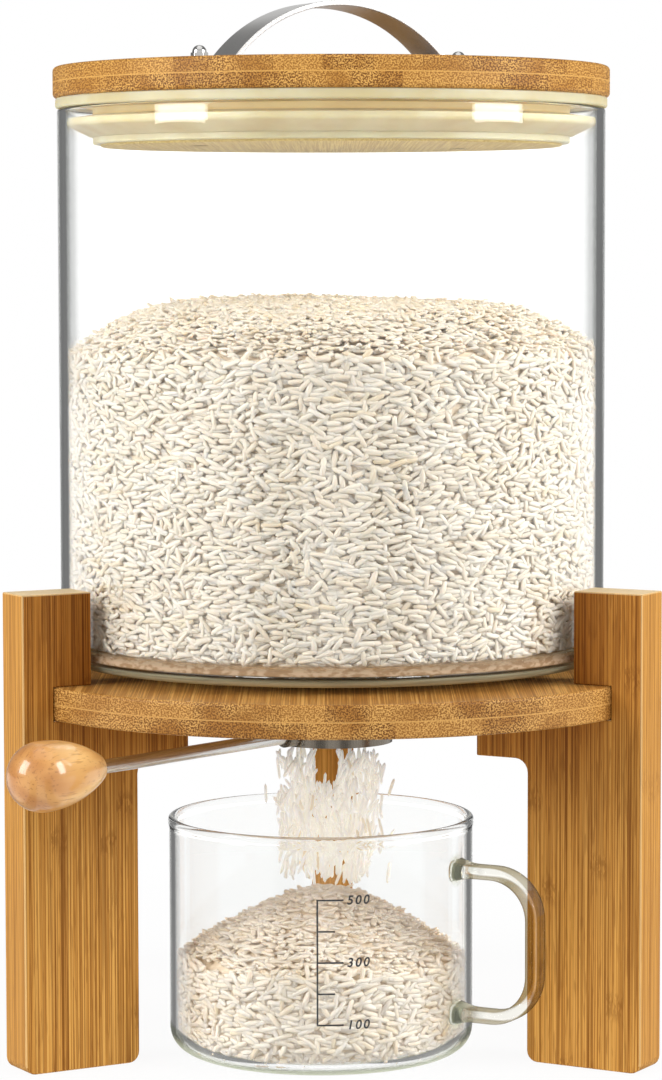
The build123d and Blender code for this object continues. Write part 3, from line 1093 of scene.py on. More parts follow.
@dataclass
class Stand:
    """The three bamboo legs and the two-ply shelf."""

    leg_thickness: float = 16.5 * MM
    foot_width: float = 45.0 * MM
    tab_reach: float = 20.5 * MM
    tab_height: float = 16.0 * MM
    tab_corner: float = 5.0 * MM
    foot_corner: float = 4.0 * MM
    jar_gap: float = 3.2 * MM
    arris: float = 0.55 * MM
    arris_lift: float = 0.4
    shelf_round: float = 1.2 * MM
    shelf_bore: float = 20.5 * MM

    def build(self) -> None:
        """Builds the legs and the shelf."""
        for name, azimuth in (("leg_front_left", 210), ("leg_front_right", 330), ("leg_rear", 90)):
            self.leg(name, math.radians(azimuth))
        self.shelf()

    def leg(self, name: str, azimuth: float) -> None:
        """Builds one leg, a board on edge.

        Args:
            name: The CAD node it stands for.
            azimuth: Its direction from the jar's axis.
        """
        rear_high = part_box("leg_rear")[1]
        shelf_low, shelf_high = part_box("shelf")
        outer = rear_high.y
        inner = outer - self.foot_width
        tab = inner - self.tab_reach
        tab_low = shelf_low.z - self.tab_height
        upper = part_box("glass_jar")[1].x + self.jar_gap
        corners = [
            Corner(inner, 0.0, self.foot_corner),
            Corner(outer, 0.0, self.foot_corner),
            Corner(outer, rear_high.z),
            Corner(upper, rear_high.z),
            Corner(upper, shelf_high.z),
            Corner(shelf_high.x, shelf_high.z),
            Corner(shelf_high.x, shelf_low.z),
            Corner(tab, shelf_low.z),
            Corner(tab, tab_low),
            Corner(inner, tab_low, self.tab_corner),
        ]
        bm = outline(corners)
        raised = bmesh.ops.extrude_face_region(bm, geom=bm.faces[:])["geom"]
        bmesh.ops.translate(bm, vec=(0, self.leg_thickness, 0), verts=only(raised, BMVert))
        bmesh.ops.translate(bm, vec=(0, -self.leg_thickness / 2, 0), verts=bm.verts[:])
        weld(bm)
        # The rounded outer and top edges take the arris material, with its painted highlight.
        for face in soften(bm, self.arris, 3):
            spot = face.calc_center_median()
            if spot.x > outer - self.arris or spot.z > rear_high.z - self.arris:
                face.material_index = 1
        moved(bm, about_axis(azimuth))
        finish = Bamboo(name, Grain.UP, azimuth, side_share=0.35, top_share=0.8, shade_share=1.0)
        materials = [finish.material(), finish.material(self.arris_lift)]
        piece(bm, name, materials, Body.STAND, Slot.BAMBOO, [name])

    def shelf(self) -> None:
        """Builds the shelf."""
        low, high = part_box("shelf")
        bm = drum(high.x, low.z, high.z, (self.shelf_round, self.shelf_round), self.shelf_bore)
        finish = Bamboo("shelf", Grain.DEEP, strip=15.0, ply=0.7 * (high.z - low.z) / MM,
                        ply_start=-(low.z + high.z) / 2 / MM, pale=(0.66, 0.36, 0.100),
                        honey=(0.42, 0.185, 0.034), brown=(0.24, 0.092, 0.015),
                        dot=(0.15, 0.054, 0.008), gloss=0.25)
        piece(bm, "shelf", [finish.material()], Body.STAND, Slot.BAMBOO, ["shelf"])


class Outlet:
    """The steel outlet under the jar, with its screws and gasket."""

    def build(self) -> None:
        """Dresses the fixed steel parts and the gasket."""
        steel = Steel("outlet_steel", stretch=(1.0, 1.0, 0.04)).material()
        for node in ("outlet_throat", "valve_plate"):
            dress(node, steel, Body.STAND, Slot.STEEL)
        bright = Steel("screw_steel", tint=(0.68, 0.67, 0.65), roughness=0.2).material()
        for node in ("leg_screws", "flange_screws", "pivot_bolt", "pivot_washer", "pivot_nut"):
            dress(node, bright, Body.STAND, Slot.FASTENER)
        dress("handle_bolts", bright, Body.LID, Slot.FASTENER)
        dress("jar_gasket", Silicone("gasket_cream").material(), Body.STAND, Slot.SILICONE)


@dataclass
class Lever:
    """The turning valve's collar, its rod and its wooden knob."""

    azimuth: float = math.radians(231.0)
    rod_radius: float = 2.5 * MM
    rod_round: float = 0.4 * MM
    knob_start: float = 128.0 * MM
    knob_length: float = 40.0 * MM
    knob_radius: float = 12.2 * MM
    knob_neck: float = 4.6 * MM
    neck_round: float = 1.5 * MM
    amber_before_tip: tuple[float, float] = (22.0, 3.0)

    def height(self) -> float:
        """The height of the lever's line, from its rod."""
        return middle("lever_rod").z

    def along(self) -> Matrix:
        """The matrix that brings the Z axis on the lever's line."""
        lean = Matrix.Rotation(math.pi / 2, 4, "Y")
        return Matrix.Translation((0, 0, self.height())) @ about_axis(self.azimuth) @ lean

    def build(self) -> None:
        """Builds the rod and the knob and dresses the rotor."""
        # Its dark brown tint is painted shade under the shelf and a painted reflection of the bamboo round
        # the collar.
        steel = Steel("rotor_steel", stretch=(1.0, 1.0, 0.04), tint=(0.25, 0.22, 0.18), roughness=0.2)
        dress("valve_rotor", steel.material(), Body.LEVER, Slot.STEEL)
        self.rod()
        self.knob()

    def rod(self) -> None:
        """Builds the steel rod."""
        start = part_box("valve_rotor")[1].x
        end = self.knob_start + self.knob_length / 2
        bm = drum(self.rod_radius, start, end, (self.rod_round, self.rod_round), steps=40)
        moved(bm, self.along())
        finish = Steel("rod_steel", (0.0, 0.0, -self.azimuth), roughness=0.16)
        piece(bm, "lever_rod", [finish.material()], Body.LEVER, Slot.STEEL, ["lever_rod"])

    def knob(self) -> None:
        """Builds the egg-shaped knob."""
        belly = self.knob_length - self.knob_radius
        slope = self.knob_radius - self.knob_neck
        side = (belly ** 2 + slope ** 2) / (2 * slope)
        sweep = math.asin(belly / side)
        bm = bmesh.new()
        start = bm.verts.new((self.knob_radius, 0.0, belly))
        bmesh.ops.spin(bm, geom=[start], cent=(self.knob_radius - side, 0, belly), axis=(0, 1, 0),
                       angle=sweep, steps=22, use_duplicate=False)
        bmesh.ops.spin(bm, geom=[start], cent=(0, 0, belly), axis=(0, 1, 0), angle=-math.pi / 2, steps=18,
                       use_duplicate=False)
        neck = min(bm.verts, key=lambda point: point.co.z)
        closed = bmesh.ops.extrude_vert_indiv(bm, verts=[neck])["verts"]
        bmesh.ops.translate(bm, vec=(-neck.co.x, 0, 0), verts=closed)
        turn_round(bm, 72)
        soften(bm, self.neck_round, 4, 0.9)
        bmesh.ops.translate(bm, vec=(0, 0, self.knob_start), verts=bm.verts[:])
        moved(bm, self.along())
        tip = (self.knob_start + self.knob_length) / MM
        amber_start, amber_end = (tip - away for away in self.amber_before_tip)
        finish = Lacquer("knob_wood", (0.0, 0.0, -self.azimuth), amber_start, amber_end)
        piece(bm, "lever_knob", [finish.material()], Body.LEVER, Slot.KNOB, ["lever_knob"], smooth=1.0)


@dataclass
class Jar:
    """The straight glass jar."""

    wall: float = 3.0 * MM
    base: float = 5.5 * MM
    base_round: float = 5.0 * MM
    inner_round: float = 4.0 * MM
    rim_round: float = 1.3 * MM
    hole: float = 24.15 * MM
    hole_round: float = 0.4 * MM

    def inner_radius(self) -> float:
        """The radius of the inside."""
        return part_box("glass_jar")[1].x - self.wall

    def floor(self) -> float:
        """The height of the inside's floor."""
        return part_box("glass_jar")[0].z + self.base

    def build(self) -> None:
        """Builds the jar."""
        low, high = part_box("glass_jar")
        corners = [
            Corner(self.hole, low.z, self.hole_round, 3),
            Corner(high.x, low.z, self.base_round, 10),
            Corner(high.x, high.z, self.rim_round, 6),
            Corner(self.inner_radius(), high.z, self.rim_round, 6),
            Corner(self.inner_radius(), self.floor(), self.inner_round, 10),
            Corner(self.hole, self.floor(), self.hole_round, 3),
        ]
        bm = lathe(corners, 256)
        finish = BaseGlass("jar_glass", foot=low.z / MM)
        piece(bm, "glass_jar", [finish.material()], Body.JAR, Slot.GLASS, ["glass_jar"], smooth=0.8)


@dataclass
class Lid:
    """The bamboo lid with its silicone seal, plug, strap handle and cap nuts."""

    board_round: float = 1.6 * MM
    seal_lip_radius: float = 96.4 * MM
    seal_neck_height: float = 2.6 * MM
    seal_fin_fall: float = 1.4 * MM
    seal_lip_height: float = 2.4 * MM
    seal_tip_radius: float = 87.0 * MM
    seal_tip_step: float = 1.0 * MM
    seal_tip_drop: float = 2.6 * MM
    plug_round: float = 1.0 * MM
    strap_turn: float = math.radians(27.0)
    strap_width: float = 20.0 * MM
    strap_thickness: float = 1.8 * MM
    strap_half_span: float = 46.0 * MM
    strap_foot: float = 14.0 * MM
    strap_bend: float = 5.0 * MM
    strap_corner: float = 4.0 * MM
    strap_edge: float = 0.3 * MM
    nut_flats: float = 5.6 * MM
    nut_hex_height: float = 2.6 * MM
    nut_edge: float = 0.25 * MM
    nut_dome_share: float = 0.47

    def build(self) -> None:
        """Builds all pieces of the lid."""
        self.board()
        self.plug()
        self.seal()
        self.strap()
        self.nuts()

    def board(self) -> None:
        """Builds the bamboo board."""
        low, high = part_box("lid_board")
        bm = drum(high.x, low.z, high.z, (self.board_round, self.board_round))
        finish = Bamboo("lid_board", Grain.DEEP, strip=17.0, ply=0.7 * (high.z - low.z) / MM,
                        ply_start=-(low.z + high.z) / 2 / MM, pale=(0.70, 0.38, 0.095),
                        honey=(0.46, 0.205, 0.034), brown=(0.17, 0.062, 0.008),
                        dot=(0.16, 0.056, 0.007), gloss=0.25)
        piece(bm, "lid_board", [finish.material()], Body.LID, Slot.BAMBOO, ["lid_board"])

    def plug(self) -> None:
        """Builds the bamboo plug under the board."""
        low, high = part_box("lid_plug")
        bm = drum(high.x, low.z, high.z, (self.plug_round, 0.0), steps=160)
        finish = Bamboo("lid_plug", Grain.DEEP, strip=31.0, ply=9.0, ply_start=-high.z / MM - 2.0,
                        pale=(0.88, 0.70, 0.28), honey=(0.78, 0.58, 0.20), brown=(0.60, 0.40, 0.12),
                        dot=(0.58, 0.38, 0.11))
        piece(bm, "lid_plug", [finish.material()], Body.LID, Slot.BAMBOO, ["lid_plug"])

    def seal(self) -> None:
        """Builds the silicone seal."""
        low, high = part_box("lid_seal")
        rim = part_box("glass_jar")[1].z
        root = rim - self.seal_neck_height
        lip = root - self.seal_fin_fall
        cone = low.z + self.seal_tip_drop
        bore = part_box("lid_plug")[1].x
        corners = [
            Corner(bore, high.z),
            Corner(high.x, high.z, 0.6 * MM, 3),
            Corner(high.x, rim, 0.9 * MM, 4),
            Corner(self.seal_tip_radius, rim, 0.5 * MM, 3),
            Corner(self.seal_tip_radius, root, 0.8 * MM, 4),
            Corner(self.seal_lip_radius, lip, 0.5 * MM, 4),
            Corner(self.seal_lip_radius, lip - self.seal_lip_height, 0.9 * MM, 4),
            Corner(self.seal_tip_radius + self.seal_tip_step, cone, 0.3 * MM, 3),
            Corner(self.seal_tip_radius, cone, 0.3 * MM, 3),
            Corner(self.seal_tip_radius, low.z, 0.6 * MM, 3),
            Corner(bore, low.z),
        ]
        bm = lathe(corners, 192)
        # The seal's neck takes the painted glow.
        finish = Silicone(seep_radius=self.seal_tip_radius / MM, seep_level=(cone + self.seal_tip_drop) / MM)
        piece(bm, "lid_seal", [finish.material()], Body.LID, Slot.SILICONE, ["lid_seal"], smooth=0.9)

    def half_strap(self) -> BMesh:
        """Half of the strap, from the middle of its bow to the end of one foot.

        Returns:
            The mesh, open at the middle.
        """
        low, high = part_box("lid_handle")
        rise = high.z - low.z
        bow = (self.strap_half_span ** 2 + rise ** 2) / (2 * rise) - self.strap_thickness / 2
        centre = Vector((0, 0, high.z - self.strap_thickness / 2 - bow))
        bend_level = low.z + self.strap_thickness / 2 + self.strap_bend
        reach = bow + self.strap_bend
        lean = math.acos((bend_level - centre.z) / reach)
        hinge = Vector((reach * math.sin(lean), 0, bend_level))
        bm = bmesh.new()
        end = [section(bm, 0.0, self.strap_width, self.strap_thickness, centre.z + bow)]
        for pivot, angle, steps in ((centre, lean, 32), (hinge, -lean, 10)):
            end = bmesh.ops.spin(bm, geom=end, cent=pivot, axis=(0, 1, 0), angle=angle, steps=steps,
                                 use_duplicate=False)["geom_last"]
        heel = only(end, BMVert)
        foot = bmesh.ops.extrude_face_region(bm, geom=only(end, BMFace))["geom"]
        run = self.strap_half_span + self.strap_foot - hinge.x
        bmesh.ops.translate(bm, vec=(run, 0, 0), verts=only(foot, BMVert))
        inside = [face for face in bm.faces if all(point in heel for point in face.verts)
                  or all(abs(point.co.x) < 1e-7 for point in face.verts)]
        bmesh.ops.delete(bm, geom=inside, context="FACES")
        return bm

    def strap(self) -> None:
        """Builds the bent steel strap."""
        bm = self.half_strap()
        bmesh.ops.mirror(bm, geom=bm.verts[:] + bm.edges[:] + bm.faces[:], axis="X", merge_dist=0.00001)
        weld(bm)
        upright = [edge for edge in sharp_edges(bm, 0.9)
                   if (edge.verts[0].co - edge.verts[1].co).xy.length < 1e-6]
        round_off(bm, upright, self.strap_corner, 6)
        soften(bm, self.strap_edge, 2, 0.9)
        moved(bm, about_axis(self.strap_turn))
        # The strap's underside takes painted shade.
        finish = Steel("strap_steel", (0.0, 0.0, -self.strap_turn), roughness=0.26, matt_below=0.75)
        piece(bm, "lid_handle", [finish.material()], Body.LID, Slot.STEEL, ["lid_handle"], smooth=0.7)

    def nuts(self) -> None:
        """Builds the two domed cap nuts."""
        low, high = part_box("handle_cap_nuts")
        place = self.strap_half_span + self.strap_foot / 2
        corner = self.nut_flats / math.sqrt(3)
        dome = self.nut_flats * self.nut_dome_share
        size = Matrix.Diagonal((dome, dome, high.z - low.z - self.nut_hex_height, 1.0))
        bm = bmesh.new()
        for side in (-1, 1):
            part = bmesh.new()
            bmesh.ops.create_cone(part, cap_ends=True, segments=6, radius1=corner, radius2=corner,
                                  depth=self.nut_hex_height,
                                  matrix=Matrix.Translation((0, 0, low.z + self.nut_hex_height / 2)))
            soften(part, self.nut_edge)
            bmesh.ops.create_uvsphere(part, u_segments=32, v_segments=16, radius=1.0,
                                      matrix=Matrix.Translation((0, 0, low.z + self.nut_hex_height)) @ size)
            moved(part, about_axis(self.strap_turn) @ Matrix.Translation((side * place, 0, 0)))
            absorb(bm, part)
        finish = Steel("nut_steel", roughness=0.14)
        piece(bm, "handle_cap_nuts", [finish.material()], Body.LID, Slot.FASTENER, ["handle_cap_nuts"])


@dataclass
class Cup:
    """The glass measuring cup with its flat ear and printed scale."""

    wall: float = 2.2 * MM
    base: float = 3.0 * MM
    base_round: float = 9.0 * MM
    inner_round: float = 7.4 * MM
    bead: float = 1.5 * MM
    radius: float = 55.3 * MM
    ear_azimuth: float = math.radians(-28.0)
    ear_reach: float = 33.0 * MM
    ear_width: float = 10.0 * MM
    ear_thickness: float = 4.6 * MM
    ear_corner: float = 16.0 * MM
    ear_round: float = 1.9 * MM
    flare_reach: float = 9.0 * MM
    flare_wide: float = 0.30
    flare_high: float = 0.9
    crease: float = 0.8
    mark_low: float = 19.3 * MM
    mark_high: float = 63.6 * MM
    mark_azimuth: float = math.radians(-91.5)
    print_width: float = 0.6 * MM
    print_lift: float = 0.06 * MM
    long_tick: float = 9.5 * MM
    short_tick: float = 6.5 * MM
    number_start: float = 10.6 * MM
    number_drop: float = 1.2 * MM
    number_size: float = 4.5 * MM

    def centre(self) -> Vector:
        """The middle of the cup's foot."""
        place = middle("measuring_cup")
        return Vector((place.x, place.y, 0.0))

    def ear_levels(self) -> tuple[float, float]:
        """The heights of the ear's lower and upper arms."""
        low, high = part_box("cup_handle")
        return low.z + self.ear_thickness / 2, high.z - self.ear_thickness / 2

    def build(self) -> None:
        """Builds the cup, its ear and its print."""
        self.join(self.bowl(), self.ear())
        self.print_scale()

    def bowl(self) -> BMesh:
        """The cup without its ear.

        Returns:
            The mesh, at its place.
        """
        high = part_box("measuring_cup")[1].z
        inner = self.radius - self.wall
        swell = self.bead - self.wall / 2
        corners = [
            Corner(0.0, 0.0),
            Corner(self.radius, 0.0, self.base_round, 12),
            Corner(self.radius, high - 2.6 * self.bead, 1.0 * MM, 4),
            Corner(self.radius + swell, high - 1.6 * self.bead, 0.5 * MM, 3),
            Corner(self.radius + swell, high, self.bead, 6),
            Corner(inner - swell, high, self.bead, 6),
            Corner(inner - swell, high - 1.6 * self.bead, 0.5 * MM, 3),
            Corner(inner, high - 2.6 * self.bead, 1.0 * MM, 4),
            Corner(inner, self.base, self.inner_round, 12),
            Corner(0.0, self.base),
        ]
        bm = lathe(corners, 192)
        moved(bm, Matrix.Translation(self.centre()))
        return bm

    def ear(self) -> BMesh:
        """The ear, a flat bar round two corners.

        Returns:
            The mesh, at its place.
        """
        bottom, top = self.ear_levels()
        start = self.radius - self.wall * 0.6
        turn = self.radius + self.ear_reach - self.ear_thickness / 2 - self.ear_corner
        bm = bmesh.new()
        for point in section(bm, start, self.ear_width, self.ear_thickness, top).verts[:]:
            round_off(bm, [point], self.ear_round, 4, "VERTICES")
        face = self.drawn(bm, bm.faces[:][0], Vector((turn - start, 0, 0)))
        face = self.swung(bm, face, Vector((turn, 0, top - self.ear_corner)))
        face = self.drawn(bm, face, Vector((0, 0, bottom - top + 2 * self.ear_corner)))
        face = self.swung(bm, face, Vector((turn, 0, bottom + self.ear_corner)))
        self.drawn(bm, face, Vector((start - turn, 0, 0)))
        weld(bm)
        inside = [face for face in bm.faces if all(len(edge.link_faces) > 2 for edge in face.edges)]
        bmesh.ops.delete(bm, geom=inside, context="FACES_ONLY")
        weld(bm)
        self.flare(bm, start)
        moved(bm, Matrix.Translation(self.centre()) @ about_axis(self.ear_azimuth))
        return bm

    def flare(self, bm: BMesh, start: float) -> None:
        """Widens the ear where it is fused to the wall.

        Args:
            bm: The ear's mesh, before it is placed.
            start: The distance from the cup's axis where the ear begins.
        """
        long = [edge for edge in bm.edges if abs(edge.verts[0].co.x - edge.verts[1].co.x) > self.flare_reach]
        bmesh.ops.subdivide_edges(bm, edges=long, cuts=9, use_grid_fill=True)
        bottom, top = self.ear_levels()
        for point in bm.verts:
            near = max(0.0, 1.0 - (point.co.x - start) / self.flare_reach)
            if near:
                level = bottom if point.co.z < (bottom + top) / 2 else top
                point.co.y *= 1.0 + self.flare_wide * near ** 2
                point.co.z = level + (point.co.z - level) * (1.0 + self.flare_high * near ** 2)

    def drawn(self, bm: BMesh, face: BMFace, step: Vector) -> BMFace:
        """Draws an end face out straight.

        Args:
            bm: The mesh.
            face: The end face.
            step: How far.

        Returns:
            The new end face.
        """
        made = bmesh.ops.extrude_face_region(bm, geom=[face])["geom"]
        bmesh.ops.translate(bm, vec=step, verts=only(made, BMVert))
        if face.is_valid:
            bmesh.ops.delete(bm, geom=[face], context="FACES_ONLY")
        return only(made, BMFace)[0]

    def swung(self, bm: BMesh, face: BMFace, centre: Vector) -> BMFace:
        """Swings an end face a quarter turn, downwards from above.

        Args:
            bm: The mesh.
            face: The end face.
            centre: The middle of the turn.

        Returns:
            The new end face.
        """
        made = bmesh.ops.spin(bm, geom=[face], cent=centre, axis=(0, 1, 0), angle=math.pi / 2, steps=14,
                              use_duplicate=False)["geom_last"]
        return only(made, BMFace)[0]

    def join(self, bowl: BMesh, ear: BMesh) -> None:
        """Fuses the ear to the bowl as one piece of glass.

        Args:
            bowl: The bowl's mesh.
            ear: The ear's mesh.
        """
        out = about_axis(self.ear_azimuth) @ Vector((self.radius + self.wall, 0, 0))
        roots = tuple((self.centre() + out + Vector((0, 0, level))) / MM for level in self.ear_levels())
        finish = EaredGlass("cup_glass", edge=(0.88, 0.90, 0.86), ior=1.32, roots=roots,
                            axis=tuple(self.centre() / MM), bowl=self.radius / MM)
        made = piece(bowl, "measuring_cup", [finish.material()], Body.CUP, Slot.CUP_GLASS,
                     ["measuring_cup", "cup_handle"], smooth=self.crease)
        tool_mesh = as_mesh(ear, "ear_tool")
        tool = added("ear_tool", tool_mesh)
        fusion = made.modifiers.new("fused_ear", "BOOLEAN")
        fusion.operation = "UNION"
        fusion.solver = "EXACT"
        fusion.object = tool
        fused = evaluated(made)
        made.modifiers.clear()
        made.data = fused
        fused.shade_smooth()
        fused.set_sharp_from_angle(angle=self.crease)
        even_normals(made)
        bpy.data.objects.remove(tool)
        bpy.data.meshes.remove(tool_mesh)

    def print_scale(self) -> None:
        """Builds the printed scale: a line, ticks and numbers."""
        bm = bmesh.new()
        self.bar(bm, 0.0, self.print_width, self.mark_low, self.mark_high + self.print_width)
        for step, volume in enumerate((100, 200, 300, 400, 500)):
            level = self.mark_low + (self.mark_high - self.mark_low) * step / 4
            tick = self.long_tick if volume % 200 else self.short_tick
            self.bar(bm, 0.0, tick, level, level + self.print_width)
            if volume % 200:
                self.number(bm, str(volume), self.number_start, level - self.number_drop)
        centre = self.centre()
        reach = self.radius + self.print_lift
        for point in bm.verts:
            angle = self.mark_azimuth + point.co.x / self.radius
            point.co = centre + Vector((reach * math.cos(angle), reach * math.sin(angle), point.co.z))
        piece(bm, "cup_scale", [Ink().material()], Body.CUP)

    def bar(self, bm: BMesh, left: float, right: float, low: float, high: float) -> None:
        """Adds a flat bar of print in the XZ plane.

        Args:
            bm: The print's mesh.
            left: Its left end.
            right: Its right end.
            low: Its lower edge.
            high: Its upper edge.
        """
        size = Matrix.Diagonal((right - left, 1.0, high - low, 1.0))
        stand = Matrix.Rotation(math.pi / 2, 4, "X")
        place = Matrix.Translation(((left + right) / 2, 0, (low + high) / 2))
        bmesh.ops.create_grid(bm, x_segments=6, y_segments=1, size=0.5, matrix=place @ size @ stand)

    def number(self, bm: BMesh, text: str, left: float, low: float) -> None:
        """Adds a printed number in the XZ plane.

        Args:
            bm: The print's mesh.
            text: The number.
            left: Its left end.
            low: Its lower edge.
        """
        curve = bpy.data.curves.new("number", "FONT")
        curve.body = text
        curve.size = self.number_size
        curve.shear = 0.18
        curve.offset = 0.1 * MM
        curve.space_character = 1.3
        holder = added("number", curve)
        flat = evaluated(holder)
        flat.transform(Matrix.Translation((left, 0, low)) @ Matrix.Rotation(math.pi / 2, 4, "X"))
        bm.from_mesh(flat)
        bpy.data.meshes.remove(flat)
        bpy.data.objects.remove(holder)
        bpy.data.curves.remove(curve)


@dataclass(kw_only=True)
class Rice:
    """Loose rice that rides on one body, in pieces of many grains."""

    name: str
    body: Body
    centre: Vector
    seed: int
    length: float = 7.5 * MM
    width: float = 2.05 * MM
    flat: float = 0.66
    share: int = 5200
    batch: int = 64

    def __post_init__(self) -> None:
        """Starts the rice's own random numbers."""
        self.rng = random.Random(self.seed)

    def template(self) -> bpy.types.Mesh:
        """One blunt grain of unit size along the X axis.

        Returns:
            The mesh.
        """
        bm = bmesh.new()
        bmesh.ops.create_uvsphere(bm, u_segments=6, v_segments=4, radius=0.5,
                                  matrix=Matrix.Rotation(math.pi / 2, 4, "Y"))
        shoulders = [point for point in bm.verts if 0.1 < abs(point.co.x) < 0.45]
        bmesh.ops.scale(bm, vec=(1.08, 1.22, 1.22), verts=shoulders)
        return as_mesh(bm, "grain")

    def shape(self) -> Matrix:
        """A random grain's size, flattest along its Z axis.

        Returns:
            The scale.
        """
        long = self.length * self.rng.uniform(0.72, 1.08)
        wide = self.width * self.rng.uniform(0.88, 1.1)
        return Matrix.Diagonal((long, wide, wide * self.flat, 1.0))

    def grains(self, label: str, places: Sequence[Matrix], skin: bpy.types.Material) -> None:
        """Builds pieces of many grains.

        Args:
            label: What the pieces' names end in.
            places: One matrix for each grain.
            skin: The grains' material.
        """
        template = self.template()
        parts = math.ceil(len(places) / self.share)
        for part in range(parts):
            bm = bmesh.new()
            chosen = places[part::parts]
            for start in range(0, len(chosen), self.batch):
                self.clump(bm, template, chosen[start:start + self.batch])
            piece(bm, f"{self.name}_{label}_{part}", [skin], self.body, smooth=FULLY_SMOOTH)
        bpy.data.meshes.remove(template)

    def clump(self, bm: BMesh, template: bpy.types.Mesh, places: Sequence[Matrix]) -> None:
        """Adds a few grains to a mesh.

        Args:
            bm: The mesh that grows.
            template: One grain of unit size.
            places: One matrix for each grain.
        """
        few = bmesh.new()
        for place in places:
            grain = template.copy()
            grain.transform(place)
            few.from_mesh(grain)
            bpy.data.meshes.remove(grain)
        absorb(bm, few)


@dataclass(kw_only=True)
class RiceHeap(Rice):
    """Rice in a round vessel: a shaded core, grains against the wall and grains on top."""

    radius: float
    floor: float
    wall_level: float
    crown_level: float
    crown_power: float
    corner: float
    row: float = 1.50 * MM
    cell: float = 4.8 * MM
    # A painted glow on the grains, as in RiceSkin.
    glow: float = 0.0
    layer: float = 1.0 * MM
    jitter: float = 0.8 * MM
    core_inset: float = 2.6 * MM
    core_lift: float = 0.6 * MM
    core_rings: int = 14
    wave_height: float = 2.2 * MM
    wave_scale: float = 28.0

    def smooth_level(self, away: float) -> float:
        """The heap's height at a distance from the vessel's axis, without its waves."""
        share = min(1.0, away / self.radius)
        return self.wall_level + (self.crown_level - self.wall_level) * (1.0 - share ** self.crown_power)

    def level(self, x: float, y: float) -> float:
        """The heap's height over a point, seen from the vessel's axis."""
        wave = noise.noise(Vector((x, y, 0.0)) * self.wave_scale + Vector((self.seed, 0, 0)))
        return self.smooth_level(math.hypot(x, y)) + self.wave_height * wave

    def build(self) -> None:
        """Builds the core and the grains."""
        self.core()
        skin = RiceSkin(f"{self.name}_grain", glow=self.glow).material()
        self.grains("wall", [*self.wall_grains(0.0), *self.wall_grains(self.layer)], skin)
        self.grains("top", [*self.top_grains(0.0), *self.top_grains(self.layer)], skin)

    def core(self) -> None:
        """Builds the core, a solid a little smaller than the heap."""
        edge = self.radius - self.core_inset
        foot = self.floor + self.core_lift
        corners = [Corner(0.0, foot), Corner(edge, foot, self.corner, 5)]
        for step in range(self.core_rings + 1):
            away = edge * (1.0 - step / self.core_rings)
            corners.append(Corner(away, self.smooth_level(away) - self.core_inset))
        bm = lathe(corners, 96)
        moved(bm, Matrix.Translation(self.centre))
        piece(bm, f"{self.name}_core", [RiceCore(f"{self.name}_core").material()], self.body)

    def slope(self) -> float:
        """A random lean of a grain at the wall."""
        return self.rng.gauss(0.0, 0.35) if self.rng.random() < 0.72 else self.rng.uniform(-1.57, 1.57)

    def wall_grains(self, depth: float) -> Iterator[Matrix]:
        """Places of the grains against the wall.

        Args:
            depth: How far they lie behind the first layer.

        Yields:
            One matrix for each grain.
        """
        reach = self.radius - self.width * 0.45 - depth
        rows = int((self.crown_level - self.floor) / self.row)
        cells = int(math.tau * reach / self.cell)
        for row in range(rows):
            for cell in range(cells):
                angle = (cell + self.rng.uniform(-0.5, 0.5) + 0.5 * (row % 2)) / cells * math.tau
                height = self.floor + 1.4 * MM + (row + self.rng.uniform(-0.5, 0.5)) * self.row
                lean = self.slope()
                lowest = self.floor + 0.5 * self.length * abs(math.sin(lean)) + 0.7 * self.width
                height = max(height, lowest)
                tuck = max(0.0, self.floor + self.corner - height) * 0.5
                close = reach - tuck - self.rng.uniform(0, self.jitter)
                if height > self.level(close * math.cos(angle), close * math.sin(angle)) - 0.6 * MM:
                    continue
                sink = abs(math.cos(lean)) * self.length ** 2 / (8 * self.radius) * 0.5
                spot = Vector(((close - sink) * math.cos(angle), (close - sink) * math.sin(angle), height))
                turn = about_axis(angle + math.pi / 2) @ Matrix.Rotation(lean, 4, "Y")
                tip = Euler((math.pi / 2 + self.rng.uniform(-0.3, 0.3), 0, self.rng.gauss(0, 0.06)))
                turn = turn @ tip.to_matrix().to_4x4()
                yield Matrix.Translation(self.centre + spot) @ turn @ self.shape()

    def top_grains(self, depth: float) -> Iterator[Matrix]:
        """Places of the grains on top of the heap.

        Args:
            depth: How far they lie under the first layer.

        Yields:
            One matrix for each grain.
        """
        edge = self.radius - self.length * 0.5
        pitch = math.sqrt(self.row * self.cell) * 1.02
        count = int(2 * edge / pitch)
        for column in range(count):
            for line in range(count):
                x = -edge + (column + self.rng.uniform(0, 1)) * pitch
                y = -edge + (line + self.rng.uniform(0, 1)) * pitch
                if math.hypot(x, y) > edge:
                    continue
                spot = Vector((x, y, self.level(x, y) - self.width * 0.5 - depth))
                turn = Euler((0.0, self.rng.gauss(0.0, 0.22), self.rng.uniform(0, math.tau)))
                yield Matrix.Translation(self.centre + spot) @ turn.to_matrix().to_4x4() @ self.shape()


